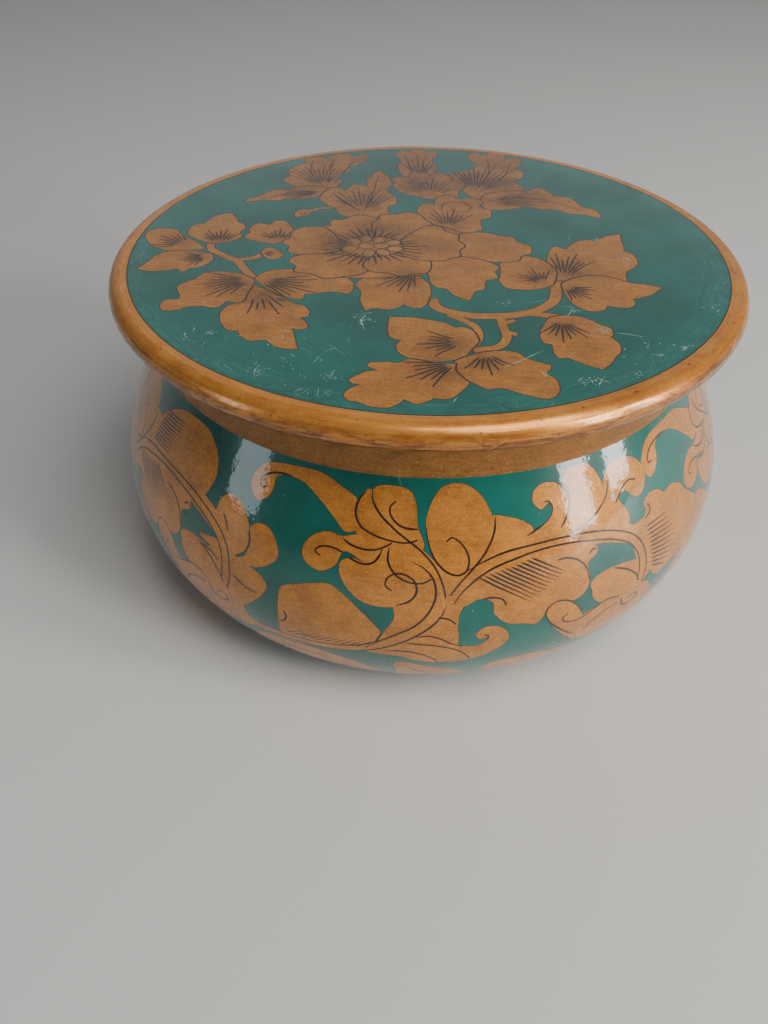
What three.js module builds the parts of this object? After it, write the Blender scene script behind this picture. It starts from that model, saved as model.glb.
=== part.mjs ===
// Hand-painted lacquer box: a lathe-turned wooden bowl and a flat lid that lifts off.
// Millimetres, +Z up, origin at the centre of the bowl's underside.
import * as THREE from 'three';

// Bowl, outside
const BASE_RADIUS = 57; // flat of the underside
const BELLY_RADIUS = 79.2; // widest part
const BELLY_HEIGHT = 27.6;
const BELLY_RISE = 12; // how far the side runs on upright above the widest part
const COLLAR_RADIUS = 66.6; // straight collar under the lid
const SHOULDER_HEIGHT = 62.5; // where the belly meets the collar
const SHOULDER_SPREAD = 5.6; // lean of the shoulder: outward by this much
const SHOULDER_DROP = 11.5; // over this much of height

// Bowl, inside
const WALL = 6;
const FLOOR = 7;
const INNER_BASE_RADIUS = BASE_RADIUS - 4;
const MOUTH_RADIUS = 61;
const MOUTH_ROUNDING = 1.2; // eased edges of the mouth

// Lid
const TOP = 80; // highest point of the closed box
const LID_RADIUS = 75;
const RIM_ROUNDING = 3.1; // the edge is a half round of this radius
const LID_PANEL = 5.4; // thickness inside the locating ring
const RESTING_GAP = 0.3; // lid above the bowl's mouth
const RING_CLEARANCE = 0.4; // locating ring inside the mouth
const RING_WIDTH = 5;
const RING_DEPTH = 4.4;
const RING_CHAMFER = 0.8;

// Fineness of the turned forms
const TURN_STEPS = 72;
const CURVE_STEPS = 9;
const RIM_STEPS = 12;
const MOUTH_STEPS = 2;

const LID_UNDERSIDE = TOP - 2 * RIM_ROUNDING;
const MOUTH_HEIGHT = LID_UNDERSIDE - RESTING_GAP;
const QUARTER_TURN = Math.PI / 2;

const point = (radius, height) => new THREE.Vector2(radius, height);

// Points of a circular arc, with angles counted from the outward direction.
function arc(centre, radius, startAngle, endAngle, steps) {
  const curve = new THREE.EllipseCurve(centre.x, centre.y, radius, radius, startAngle, endAngle);
  return curve.getPoints(steps);
}

// The belly's outline from its lower edge to the collar: a quarter ellipse up to the widest part,
// then a curve that leaves it upright and leans into the shoulder.
function bellyOutline(base, belly, shoulder) {
  const spread = belly.x - base.x;
  const depth = belly.y - base.y;
  const below = new THREE.EllipseCurve(base.x, belly.y, spread, depth, -QUARTER_TURN, 0);
  const risen = point(belly.x, belly.y + BELLY_RISE);
  const leaning = point(shoulder.x + SHOULDER_SPREAD, shoulder.y - SHOULDER_DROP);
  const above = new THREE.CubicBezierCurve(belly, risen, leaning, shoulder);
  return [...below.getPoints(CURVE_STEPS), ...above.getPoints(CURVE_STEPS).slice(1)];
}

// From the middle of the underside, up the outside, over the mouth and down the inside.
function bowlProfile() {
  const outside = bellyOutline(
    point(BASE_RADIUS, 0),
    point(BELLY_RADIUS, BELLY_HEIGHT),
    point(COLLAR_RADIUS, SHOULDER_HEIGHT),
  );
  const inside = bellyOutline(
    point(INNER_BASE_RADIUS, FLOOR),
    point(BELLY_RADIUS - WALL, BELLY_HEIGHT),
    point(MOUTH_RADIUS, SHOULDER_HEIGHT),
  );
  const roundingHeight = MOUTH_HEIGHT - MOUTH_ROUNDING;
  const outerEdge = point(COLLAR_RADIUS - MOUTH_ROUNDING, roundingHeight);
  const innerEdge = point(MOUTH_RADIUS + MOUTH_ROUNDING, roundingHeight);
  return [
    point(0, 0),
    ...outside,
    ...arc(outerEdge, MOUTH_ROUNDING, 0, QUARTER_TURN, MOUTH_STEPS),
    ...arc(innerEdge, MOUTH_ROUNDING, QUARTER_TURN, 2 * QUARTER_TURN, MOUTH_STEPS),
    ...inside.reverse(),
    point(0, FLOOR),
  ];
}

// From the middle of the underside, round the locating ring and the rim, to the middle of the top.
function lidProfile() {
  const ringOuter = MOUTH_RADIUS - RING_CLEARANCE;
  const ringInner = ringOuter - RING_WIDTH;
  const ringBottom = LID_UNDERSIDE - RING_DEPTH;
  const panelBottom = TOP - LID_PANEL;
  const rimCentre = point(LID_RADIUS - RIM_ROUNDING, TOP - RIM_ROUNDING);
  return [
    point(0, panelBottom),
    point(ringInner, panelBottom),
    point(ringInner, ringBottom),
    point(ringOuter - RING_CHAMFER, ringBottom),
    point(ringOuter, ringBottom + RING_CHAMFER),
    point(ringOuter, LID_UNDERSIDE),
    ...arc(rimCentre, RIM_ROUNDING, -QUARTER_TURN, QUARTER_TURN, RIM_STEPS),
    point(0, TOP),
  ];
}

// A solid of revolution about Z. The profile starts and ends on the axis.
function turned(name, profile, material) {
  const geometry = new THREE.LatheGeometry(profile, TURN_STEPS);
  geometry.rotateX(QUARTER_TURN);
  const mesh = new THREE.Mesh(geometry, material);
  mesh.name = name;
  return mesh;
}

const bowlLacquer = new THREE.MeshStandardMaterial({ color: 0x1f6157, roughness: 0.25, metalness: 0 });
const lidLacquer = new THREE.MeshStandardMaterial({ color: 0x1e5f55, roughness: 0.2, metalness: 0 });

const lacquerBox = new THREE.Group();
lacquerBox.add(turned('bowl', bowlProfile(), bowlLacquer));
lacquerBox.add(turned('lid', lidProfile(), lidLacquer));

export default lacquerBox;
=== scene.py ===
"""Hand-painted lacquer box: a turned bowl and a lift-off lid in green lacquer with gold painting.

The drawing on each piece is worked out in millimetres on a flat sheet, triangulated so that its colours
meet along exact edges, and then laid on the turned surface.
"""

import json
import logging
import math
from abc import ABC, abstractmethod
from dataclasses import dataclass, field
from enum import Enum, IntEnum
from typing import Callable, Iterable, Sequence

import bmesh
import bpy
import numpy as np
from mathutils import Euler, Matrix, Vector, noise
from mathutils.geometry import delaunay_2d_cdt


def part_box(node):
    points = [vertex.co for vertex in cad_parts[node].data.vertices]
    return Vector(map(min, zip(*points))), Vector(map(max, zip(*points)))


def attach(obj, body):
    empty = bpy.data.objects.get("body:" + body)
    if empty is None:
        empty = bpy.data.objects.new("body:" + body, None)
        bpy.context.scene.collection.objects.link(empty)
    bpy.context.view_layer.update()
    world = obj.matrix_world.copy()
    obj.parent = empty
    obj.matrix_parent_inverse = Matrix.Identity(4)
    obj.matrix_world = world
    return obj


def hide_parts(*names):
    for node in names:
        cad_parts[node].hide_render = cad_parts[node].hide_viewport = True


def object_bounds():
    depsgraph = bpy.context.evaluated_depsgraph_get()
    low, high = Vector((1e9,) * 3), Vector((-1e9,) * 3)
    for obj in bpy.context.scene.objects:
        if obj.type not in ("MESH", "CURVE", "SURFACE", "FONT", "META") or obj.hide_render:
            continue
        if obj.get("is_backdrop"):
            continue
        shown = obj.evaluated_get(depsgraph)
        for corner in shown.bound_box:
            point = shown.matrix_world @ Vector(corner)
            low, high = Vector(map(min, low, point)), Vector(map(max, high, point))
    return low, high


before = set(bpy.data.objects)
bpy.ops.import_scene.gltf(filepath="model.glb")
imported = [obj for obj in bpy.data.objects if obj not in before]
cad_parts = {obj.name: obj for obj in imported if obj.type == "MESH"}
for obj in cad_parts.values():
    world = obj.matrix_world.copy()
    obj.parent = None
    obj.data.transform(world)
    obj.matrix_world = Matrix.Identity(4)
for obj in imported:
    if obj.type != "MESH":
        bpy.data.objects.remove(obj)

LOG = logging.getLogger("lacquer_box")
MM = 0.001
SHADE = "shade"
HAND_SEED = 7
# Sizes in millimetres up to which corners of a drawing, seams of a mesh and slivers are closed.
WELD = 0.0001
SEAM = 0.01
SLIVER = 0.0005
# The least angle in degrees at which two faces meet in a sharp edge.
SHARP_ANGLE = 34

Point = tuple[float, float]
Colour = tuple[float, float, float]
BMesh = bmesh.types.BMesh
Material = bpy.types.Material
Node = bpy.types.Node
Object = bpy.types.Object
Socket = bpy.types.NodeSocket
Tree = bpy.types.NodeTree


def linear(red: int, green: int, blue: int) -> Colour:
    """Turns a colour as seen on a screen into the linear values that a shader takes.

    Args:
        red: Red from 0 to 255.
        green: Green from 0 to 255.
        blue: Blue from 0 to 255.

    Returns:
        The three linear values.
    """
    def channel(value: int) -> float:
        """One channel's linear value."""
        share = value / 255
        return share / 12.92 if share <= 0.04045 else ((share + 0.055) / 1.055) ** 2.4

    return channel(red), channel(green), channel(blue)


class Pigment(IntEnum):
    """What a face of a painted piece is coloured with, in the order of the piece's materials."""

    LACQUER = 0
    GOLD = 1
    INK = 2
    PALE = 3
    SCUFF = 4
    BAND = 5
    PLAIN = 6


# Drawing


def smooth_route(points: Sequence[Point], spacing: float, closed: bool) -> np.ndarray:
    """Runs a smooth curve through a few points.

    Args:
        points: The points that the curve passes through.
        spacing: About how far apart the samples are.
        closed: Whether the curve returns to its first point.

    Returns:
        The samples, one row each.
    """
    knots = np.array(points, float)
    count = len(knots)
    if closed:
        padded = np.vstack([knots[-1:], knots, knots[:2]])
        spans = count
    else:
        padded = np.vstack([2 * knots[0] - knots[1], knots, 2 * knots[-1] - knots[-2]])
        spans = count - 1
    samples = []
    for span in range(spans):
        before, start, end, after = padded[span:span + 4]
        steps = max(2, math.ceil(np.linalg.norm(end - start) / spacing))
        share = (np.arange(steps) / steps)[:, None]
        samples.append(0.5 * (
            2 * start
            + (end - before) * share
            + (2 * before - 5 * start + 4 * end - after) * share ** 2
            + (3 * start - before - 3 * end + after) * share ** 3
        ))
    if not closed:
        samples.append(knots[-1:])
    return np.vstack(samples)


def sideways(route: np.ndarray, closed: bool) -> np.ndarray:
    """Unit vectors to the right of each step along a route.

    Args:
        route: Samples along the route.
        closed: Whether the route returns to its start.

    Returns:
        One unit vector for each sample.
    """
    if closed:
        ahead = np.roll(route, -1, 0) - np.roll(route, 1, 0)
    else:
        ahead = np.gradient(route, axis=0)
    right = np.column_stack([ahead[:, 1], -ahead[:, 0]])
    return right / np.maximum(np.linalg.norm(right, axis=1, keepdims=True), 1e-9)


def anticlockwise(outline: np.ndarray) -> np.ndarray:
    """Turns an outline round if it runs clockwise.

    Args:
        outline: The corners of a closed outline.

    Returns:
        The corners in anticlockwise order.
    """
    following = np.roll(outline, -1, 0)
    twice_area = np.sum(outline[:, 0] * following[:, 1] - following[:, 0] * outline[:, 1])
    return outline if twice_area > 0 else outline[::-1]


def unit_circle(corners: int) -> np.ndarray:
    """The corners of a circle with a radius of one."""
    angles = np.linspace(0, 2 * math.pi, corners, endpoint=False)
    return np.column_stack([np.cos(angles), np.sin(angles)])


def holds(outline: np.ndarray, spots: np.ndarray) -> np.ndarray:
    """Tells which spots lie inside an outline, by how often it winds round them.

    Args:
        outline: The corners of a closed outline.
        spots: The places to test.

    Returns:
        One truth value for each spot.
    """
    start, end = outline, np.roll(outline, -1, 0)
    step = end - start
    offset = spots[:, None, :] - start[None, :, :]
    cross = step[None, :, 0] * offset[:, :, 1] - step[None, :, 1] * offset[:, :, 0]
    low = start[None, :, 1] <= spots[:, None, 1]
    high = end[None, :, 1] > spots[:, None, 1]
    upward = low & high & (cross > 0)
    downward = ~low & ~high & (cross < 0)
    return upward.sum(1) != downward.sum(1)


@dataclass(frozen=True)
class Patch:
    """One closed area of a drawing, what it is painted with and, where that matters, what it covers."""

    outline: np.ndarray
    pigment: Pigment
    over: Pigment | None = None


@dataclass(frozen=True)
class Shade:
    """A soft dark bloom on the gold, mostly painted smoke where many strokes start; one broad bloom over
    the far side of the lid's spray is in part painted shade.
    """

    centre: Point
    reach: float
    depth: float


@dataclass(frozen=True)
class Fan:
    """Strokes that spread from one place, between two directions in degrees."""

    origin: Point
    first: float
    last: float
    near: float
    far: float
    count: int = 8
    unevenness: float = 0.14
    bow: float = 0.06
    bloom_reach: float = 0.4
    bloom_depth: float = 0.66

    def at(self, reach: float, angle: float) -> Point:
        """The place at a distance and an angle from the origin."""
        return self.origin[0] + reach * math.cos(angle), self.origin[1] + reach * math.sin(angle)

    def strokes(self) -> list[tuple[Point, Point, Point]]:
        """The start, middle and end of each stroke, of uneven lengths.

        Returns:
            One stroke for each direction.
        """
        found = []
        for stroke in range(self.count):
            share = stroke / (self.count - 1)
            angle = math.radians(self.first + (self.last - self.first) * share)
            uneven = 1 - self.unevenness + self.unevenness * math.cos(4.3 * stroke)
            far = self.far * uneven * (1 - 0.5 * (share - 0.5) ** 2)
            near = self.near * (1.2 + 0.35 * (stroke % 2))
            bow = self.bow * (share - 0.5)
            middle = self.at((near + far) / 2, angle + bow)
            found.append((self.at(near, angle), middle, self.at(far, angle + 2.5 * bow)))
        return found

    def shade(self) -> Shade:
        """The bloom under the strokes.

        Returns:
            The bloom.
        """
        angle = math.radians((self.first + self.last) / 2)
        reach = self.bloom_reach * self.far
        return Shade(self.at(reach, angle), reach, self.bloom_depth)


@dataclass(frozen=True)
class Leaf:
    """A leaf: its lobes, each from one notch or point of the edge to the next, and the strokes on it."""

    lobes: tuple[tuple[Point, ...], ...]
    fan: Fan

    def outline(self, spacing: float) -> np.ndarray:
        """The edge, which is smooth along each lobe and has a corner between lobes.

        Args:
            spacing: About how far apart the samples are.

        Returns:
            The corners of the edge.
        """
        following = (*self.lobes[1:], self.lobes[0])
        return np.vstack([
            smooth_route((*lobe, after[0]), spacing, False)[:-1]
            for lobe, after in zip(self.lobes, following)
        ])


@dataclass(frozen=True)
class Comb:
    """A row of fine strokes, each a step further on than the one before."""

    start: Point
    start_step: Point
    end: Point
    end_step: Point
    width: float = 0.5
    bow: float = 0.0
    count: int = 11

    def strokes(self) -> list[tuple[Point, Point]]:
        """The start and the end of each stroke.

        Returns:
            One stroke for each step.
        """
        found = []
        for step in range(self.count):
            start = (self.start[0] + self.start_step[0] * step, self.start[1] + self.start_step[1] * step)
            across = self.end[0] + self.end_step[0] * step + self.bow * step ** 2
            found.append((start, (across, self.end[1] + self.end_step[1] * step)))
        return found


class Sketch:
    """A painting in the making: closed areas in the order in which they were painted."""

    STRAY_PITCH = 0.2
    STRAY_LEVEL = 7.3
    OVAL_CORNERS = 18
    OVAL_EDGE = 0.7
    BRUSH_START = 0.35
    BRUSH_RISE = 5
    BRUSH_FADE = 1.6
    VEIN_TAPER = 0.35
    SCRATCH_TIP = 0.2
    SPECK_CORNERS = 6
    SPECK_LEAST = 0.05
    SPECK_GROWTH = 0.09
    SPECKS_PER_HAIR = 9
    HAIR_WIDTH = 0.065
    HAIR_BEND = 0.12

    def __init__(self, hairline: float, spacing: float, wobble: float, edge: float = 0.0) -> None:
        """Starts an empty sketch.

        Args:
            hairline: Width of the dark edge of gold on lacquer.
            spacing: About how far apart the corners of an outline are.
            wobble: How far a hand-drawn edge strays.
            edge: Width of the dark edge of a gold form that lies on another.
        """
        self.hairline = hairline
        self.spacing = spacing
        self.wobble = wobble
        self.edge = edge
        self.patches: list[Patch] = []
        self.shades: list[Shade] = []
        noise.seed_set(HAND_SEED)

    def by_hand(self, outline: np.ndarray) -> np.ndarray:
        """Lets an outline stray a little, as a brush does.

        Args:
            outline: The corners of the outline.

        Returns:
            The corners, moved.
        """
        pitch = self.STRAY_PITCH
        spots = [Vector((x * pitch, y * pitch, self.STRAY_LEVEL)) for x, y in outline]
        return outline + self.wobble * np.array([noise.noise_vector(spot)[:2] for spot in spots])

    def add(self, outline: np.ndarray, pigment: Pigment, over: Pigment | None = None) -> None:
        """Paints one closed area, wholly or only over one pigment."""
        self.patches.append(Patch(anticlockwise(outline), pigment, over))

    def form(self, outline: np.ndarray, pigment: Pigment = Pigment.GOLD, edge_share: float = 1.0) -> None:
        """Paints an area with a dark edge round it.

        Args:
            outline: The corners of the area.
            pigment: What it is painted with.
            edge_share: How wide the dark edge is, as a share of the sketch's own.
        """
        drawn = anticlockwise(self.by_hand(outline))
        right = sideways(drawn, True)
        self.add(drawn + right * (self.edge * edge_share), Pigment.INK, Pigment.GOLD)
        self.add(drawn + right * self.hairline, Pigment.INK)
        self.add(drawn, pigment)

    def ground(self, outlines: Iterable[np.ndarray]) -> None:
        """Paints several areas in gold as one, with a hairline round the whole.

        Args:
            outlines: The corners of each area.
        """
        drawn = [anticlockwise(self.by_hand(outline)) for outline in outlines]
        for outline in drawn:
            self.add(outline + sideways(outline, True) * self.hairline, Pigment.INK)
        for outline in drawn:
            self.add(outline, Pigment.GOLD)

    def blob(self, points: Sequence[Point]) -> None:
        """Paints a rounded gold form through a few points of its edge."""
        self.form(smooth_route(points, self.spacing, True))

    def oval(self, centre: Point, size: Point, turn: float, pigment: Pigment) -> None:
        """Paints an oval.

        Args:
            centre: Its middle.
            size: Its length and width.
            turn: The direction of its length, in degrees.
            pigment: What it is painted with.
        """
        lean = math.radians(turn)
        flat = unit_circle(self.OVAL_CORNERS) * np.array(size) / 2
        rotation = np.array([[math.cos(lean), math.sin(lean)], [-math.sin(lean), math.cos(lean)]])
        self.form(flat @ rotation + np.array(centre), pigment, self.OVAL_EDGE)

    @staticmethod
    def ribbon(route: np.ndarray, widths: np.ndarray) -> np.ndarray:
        """The outline of a band of changing width along a route.

        Args:
            route: Samples along its middle.
            widths: The full width at each sample.

        Returns:
            The corners of the outline.
        """
        side = sideways(route, False) * widths[:, None] / 2
        return np.vstack([route + side, (route - side)[::-1]])

    def line(self, points: Sequence[Point], width: float, taper: float = 0.6) -> None:
        """Draws a dark brush line that thins towards its end.

        Args:
            points: Points that the line runs through.
            width: Its greatest width.
            taper: The share of the width that is lost at the end.
        """
        route = self.by_hand(smooth_route(points, self.spacing, False))
        share = np.linspace(0, 1, len(route))
        pressing = np.minimum(1, self.BRUSH_START + self.BRUSH_RISE * share)
        swell = pressing * (1 - taper * share ** self.BRUSH_FADE)
        self.add(self.ribbon(route, width * swell), Pigment.INK, Pigment.GOLD)

    def stem(self, points: Sequence[Point], width: float, taper: float = 0.0) -> np.ndarray:
        """The outline of a stem.

        Args:
            points: Points that its middle runs through.
            width: Its width at the start.
            taper: The share of the width that is lost at the end.

        Returns:
            The corners of the outline.
        """
        route = smooth_route(points, self.spacing, False)
        return self.ribbon(route, width * (1 - taper * np.linspace(0, 1, len(route))))

    def scratch(self, points: Sequence[Point], width: float) -> None:
        """Draws a pale scratch over whatever is there.

        Args:
            points: Points that the scratch runs through.
            width: Its greatest width.
        """
        route = self.by_hand(smooth_route(points, self.spacing, False))
        fade = np.sin(np.linspace(self.SCRATCH_TIP, math.pi - self.SCRATCH_TIP, len(route)))
        self.add(self.ribbon(route, width * fade), Pigment.SCUFF)

    def scuff(self, centre: Point, spread: Point, count: int) -> None:
        """Scatters small pale specks and a few fine scratches, closer together in the middle.

        Args:
            centre: The middle.
            spread: How far the specks reach in each direction.
            count: How many specks there are.
        """
        chance = np.random.default_rng(round(1000 * abs(centre[0]) + abs(centre[1])))
        circle = unit_circle(self.SPECK_CORNERS)
        middles = np.array(centre) + chance.normal(0, 0.5, (count, 2)) * np.array(spread)
        for middle in middles:
            radius = self.SPECK_LEAST + self.SPECK_GROWTH * chance.random() ** 3
            shape = circle * chance.uniform(0.6, 1.6, 2)
            self.add(middle + radius * shape, Pigment.SCUFF)
        for middle in middles[::self.SPECKS_PER_HAIR]:
            angle = chance.uniform(0, math.pi)
            reach = chance.uniform(0.5, 1.7) * np.array([math.cos(angle), math.sin(angle)])
            bent = middle + chance.normal(0, self.HAIR_BEND, 2)
            self.scratch([middle - reach, bent, middle + reach], self.HAIR_WIDTH)

    def leaf(self, leaf: Leaf, vein_width: float) -> None:
        """Paints a leaf and the strokes that fan out from its base.

        Args:
            leaf: The leaf.
            vein_width: The strokes' width.
        """
        self.form(leaf.outline(self.spacing))
        self.shades.append(leaf.fan.shade())
        for stroke in leaf.fan.strokes():
            self.line(stroke, vein_width, self.VEIN_TAPER)

    def shade_at(self, spots: np.ndarray) -> np.ndarray:
        """How much the gold is darkened at each spot.

        Args:
            spots: The places on the sheet.

        Returns:
            A value from 0 to 1 for each spot.
        """
        dark = np.zeros(len(spots))
        for shade in self.shades:
            distance = np.linalg.norm(spots - np.array(shade.centre), axis=1)
            dark = np.maximum(dark, shade.depth * np.exp(-(distance / shade.reach) ** 2))
        return dark


# Laying a drawing on a surface


@dataclass
class Sheet:
    """A drawing cut into triangles, with one pigment for each."""

    points: np.ndarray
    triangles: np.ndarray
    pigments: np.ndarray


def cut_sheet(
    patches: Sequence[Patch],
    border: np.ndarray,
    filling: np.ndarray,
    within: Callable[[np.ndarray], np.ndarray],
) -> Sheet:
    """Cuts a drawing into triangles that follow the edges of its areas.

    Args:
        patches: The areas, in the order in which they were painted.
        border: The outline of the sheet itself.
        filling: Further points, which keep the triangles small.
        within: Tells which places are on the sheet.

    Returns:
        The sheet, with unpainted triangles left as lacquer.
    """
    loops = [border, *(patch.outline for patch in patches)]
    edges = []
    first = 0
    for loop in loops:
        count = len(loop)
        edges.extend((first + at, first + (at + 1) % count) for at in range(count))
        first += count
    corners = [Vector(corner) for corner in np.vstack([*loops, filling])]
    cut = delaunay_2d_cdt(corners, edges, [], 0, WELD, False)
    points = np.array([tuple(corner) for corner in cut[0]])
    triangles = np.array(cut[2])
    middles = points[triangles].mean(1)
    kept = within(middles)
    triangles, middles = triangles[kept], middles[kept]
    pigments = np.full(len(triangles), int(Pigment.LACQUER))
    for patch in patches:
        low, high = patch.outline.min(0), patch.outline.max(0)
        near = np.flatnonzero(((middles >= low) & (middles <= high)).all(1))
        inside = near[holds(patch.outline, middles[near])]
        if patch.over is not None:
            inside = inside[pigments[inside] == int(patch.over)]
        pigments[inside] = int(patch.pigment)
    return Sheet(points, triangles, pigments)


def lattice(low: Point, high: Point, pitch: float) -> np.ndarray:
    """Evenly spread points in a rectangle, in staggered rows.

    Args:
        low: The rectangle's lowest corner.
        high: Its highest corner.
        pitch: The distance between points.

    Returns:
        The points.
    """
    row_pitch = pitch * math.sqrt(3) / 2
    rows = np.arange(low[1], high[1], row_pitch)
    points = []
    for row, height in enumerate(rows):
        across = np.arange(low[0] + pitch * (row % 2) / 2, high[0], pitch)
        points.append(np.column_stack([across, np.full(len(across), height)]))
    return np.vstack(points)


def turn_profile(mesh: BMesh, profile: Sequence[Point], steps: int, pigment: Pigment) -> None:
    """Spins a profile of radius and height about the upright axis.

    Args:
        mesh: The mesh to add to.
        profile: Radius and height of each point, in millimetres.
        steps: Steps of a full turn.
        pigment: What the new faces are coloured with.
    """
    before = set(mesh.faces)
    corners = [mesh.verts.new((radius * MM, 0, height * MM)) for radius, height in profile]
    lines = [mesh.edges.new(pair) for pair in zip(corners, corners[1:])]
    bmesh.ops.spin(
        mesh, geom=[*corners, *lines], cent=(0, 0, 0), axis=(0, 0, 1), dvec=(0, 0, 0),
        angle=2 * math.pi, steps=steps, use_merge=True, use_normal_flip=False, use_duplicate=False,
    )
    for face in set(mesh.faces) - before:
        face.material_index = int(pigment)


def lay_sheet(mesh: BMesh, sheet: Sheet, places: np.ndarray, shade: np.ndarray) -> None:
    """Adds a cut sheet to a mesh.

    Args:
        mesh: The mesh to add to.
        sheet: The cut sheet.
        places: Where each of its points goes, in millimetres.
        shade: How much the gold is darkened at each point.
    """
    layer = mesh.verts.layers.float.new(SHADE)
    corners: dict[int, bmesh.types.BMVert] = {}
    for at in np.unique(sheet.triangles):
        corners[int(at)] = mesh.verts.new(places[at] * MM)
        corners[int(at)][layer] = shade[at]
    for triangle, pigment in zip(sheet.triangles, sheet.pigments):
        face = mesh.faces.new([corners[int(at)] for at in triangle])
        face.material_index = int(pigment)


def arc_points(centre: Point, radius: float, start: float, end: float, steps: int) -> list[Point]:
    """Points of an arc.

    Args:
        centre: Its middle.
        radius: Its radius.
        start: The first angle in degrees, counted from the outward direction.
        end: The last angle.
        steps: How many steps it takes.

    Returns:
        The points, both ends included.
    """
    angles = np.radians(np.linspace(start, end, steps + 1))
    return [(centre[0] + radius * math.cos(a), centre[1] + radius * math.sin(a)) for a in angles]


def make_object(name: str, mesh: BMesh, materials: Sequence[Material]) -> Object:
    """Closes a mesh's seams and makes it an object.

    Args:
        name: The object's name.
        mesh: The mesh, which is used up.
        materials: Its materials, in the order of the pigments.

    Returns:
        The object, linked to the scene.
    """
    rims = [corner for corner in mesh.verts if corner.is_boundary or corner.is_wire]
    bmesh.ops.remove_doubles(mesh, verts=rims, dist=SEAM * MM)
    bmesh.ops.dissolve_degenerate(mesh, edges=mesh.edges[:], dist=SLIVER * MM)
    bmesh.ops.recalc_face_normals(mesh, faces=mesh.faces[:])
    data = bpy.data.meshes.new(name)
    mesh.to_mesh(data)
    mesh.free()
    for material in materials:
        data.materials.append(material)
    data.shade_smooth()
    data.set_sharp_from_angle(angle=math.radians(SHARP_ANGLE))
    piece = bpy.data.objects.new(name, data)
    bpy.context.scene.collection.objects.link(piece)
    return piece


def read_all(items: bpy.types.bpy_prop_collection, name: str, width: int, kind: type) -> np.ndarray:
    """Reads one property of all the points, corners or faces of a mesh.

    Args:
        items: The points, corners or faces.
        name: The property's name.
        width: How many numbers each of them has.
        kind: The type of these numbers.

    Returns:
        The numbers, in one row for each item if there are several.
    """
    values = np.empty(len(items) * width, kind)
    items.foreach_get(name, values)
    return values if width == 1 else values.reshape(-1, width)


# Finishes


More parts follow.
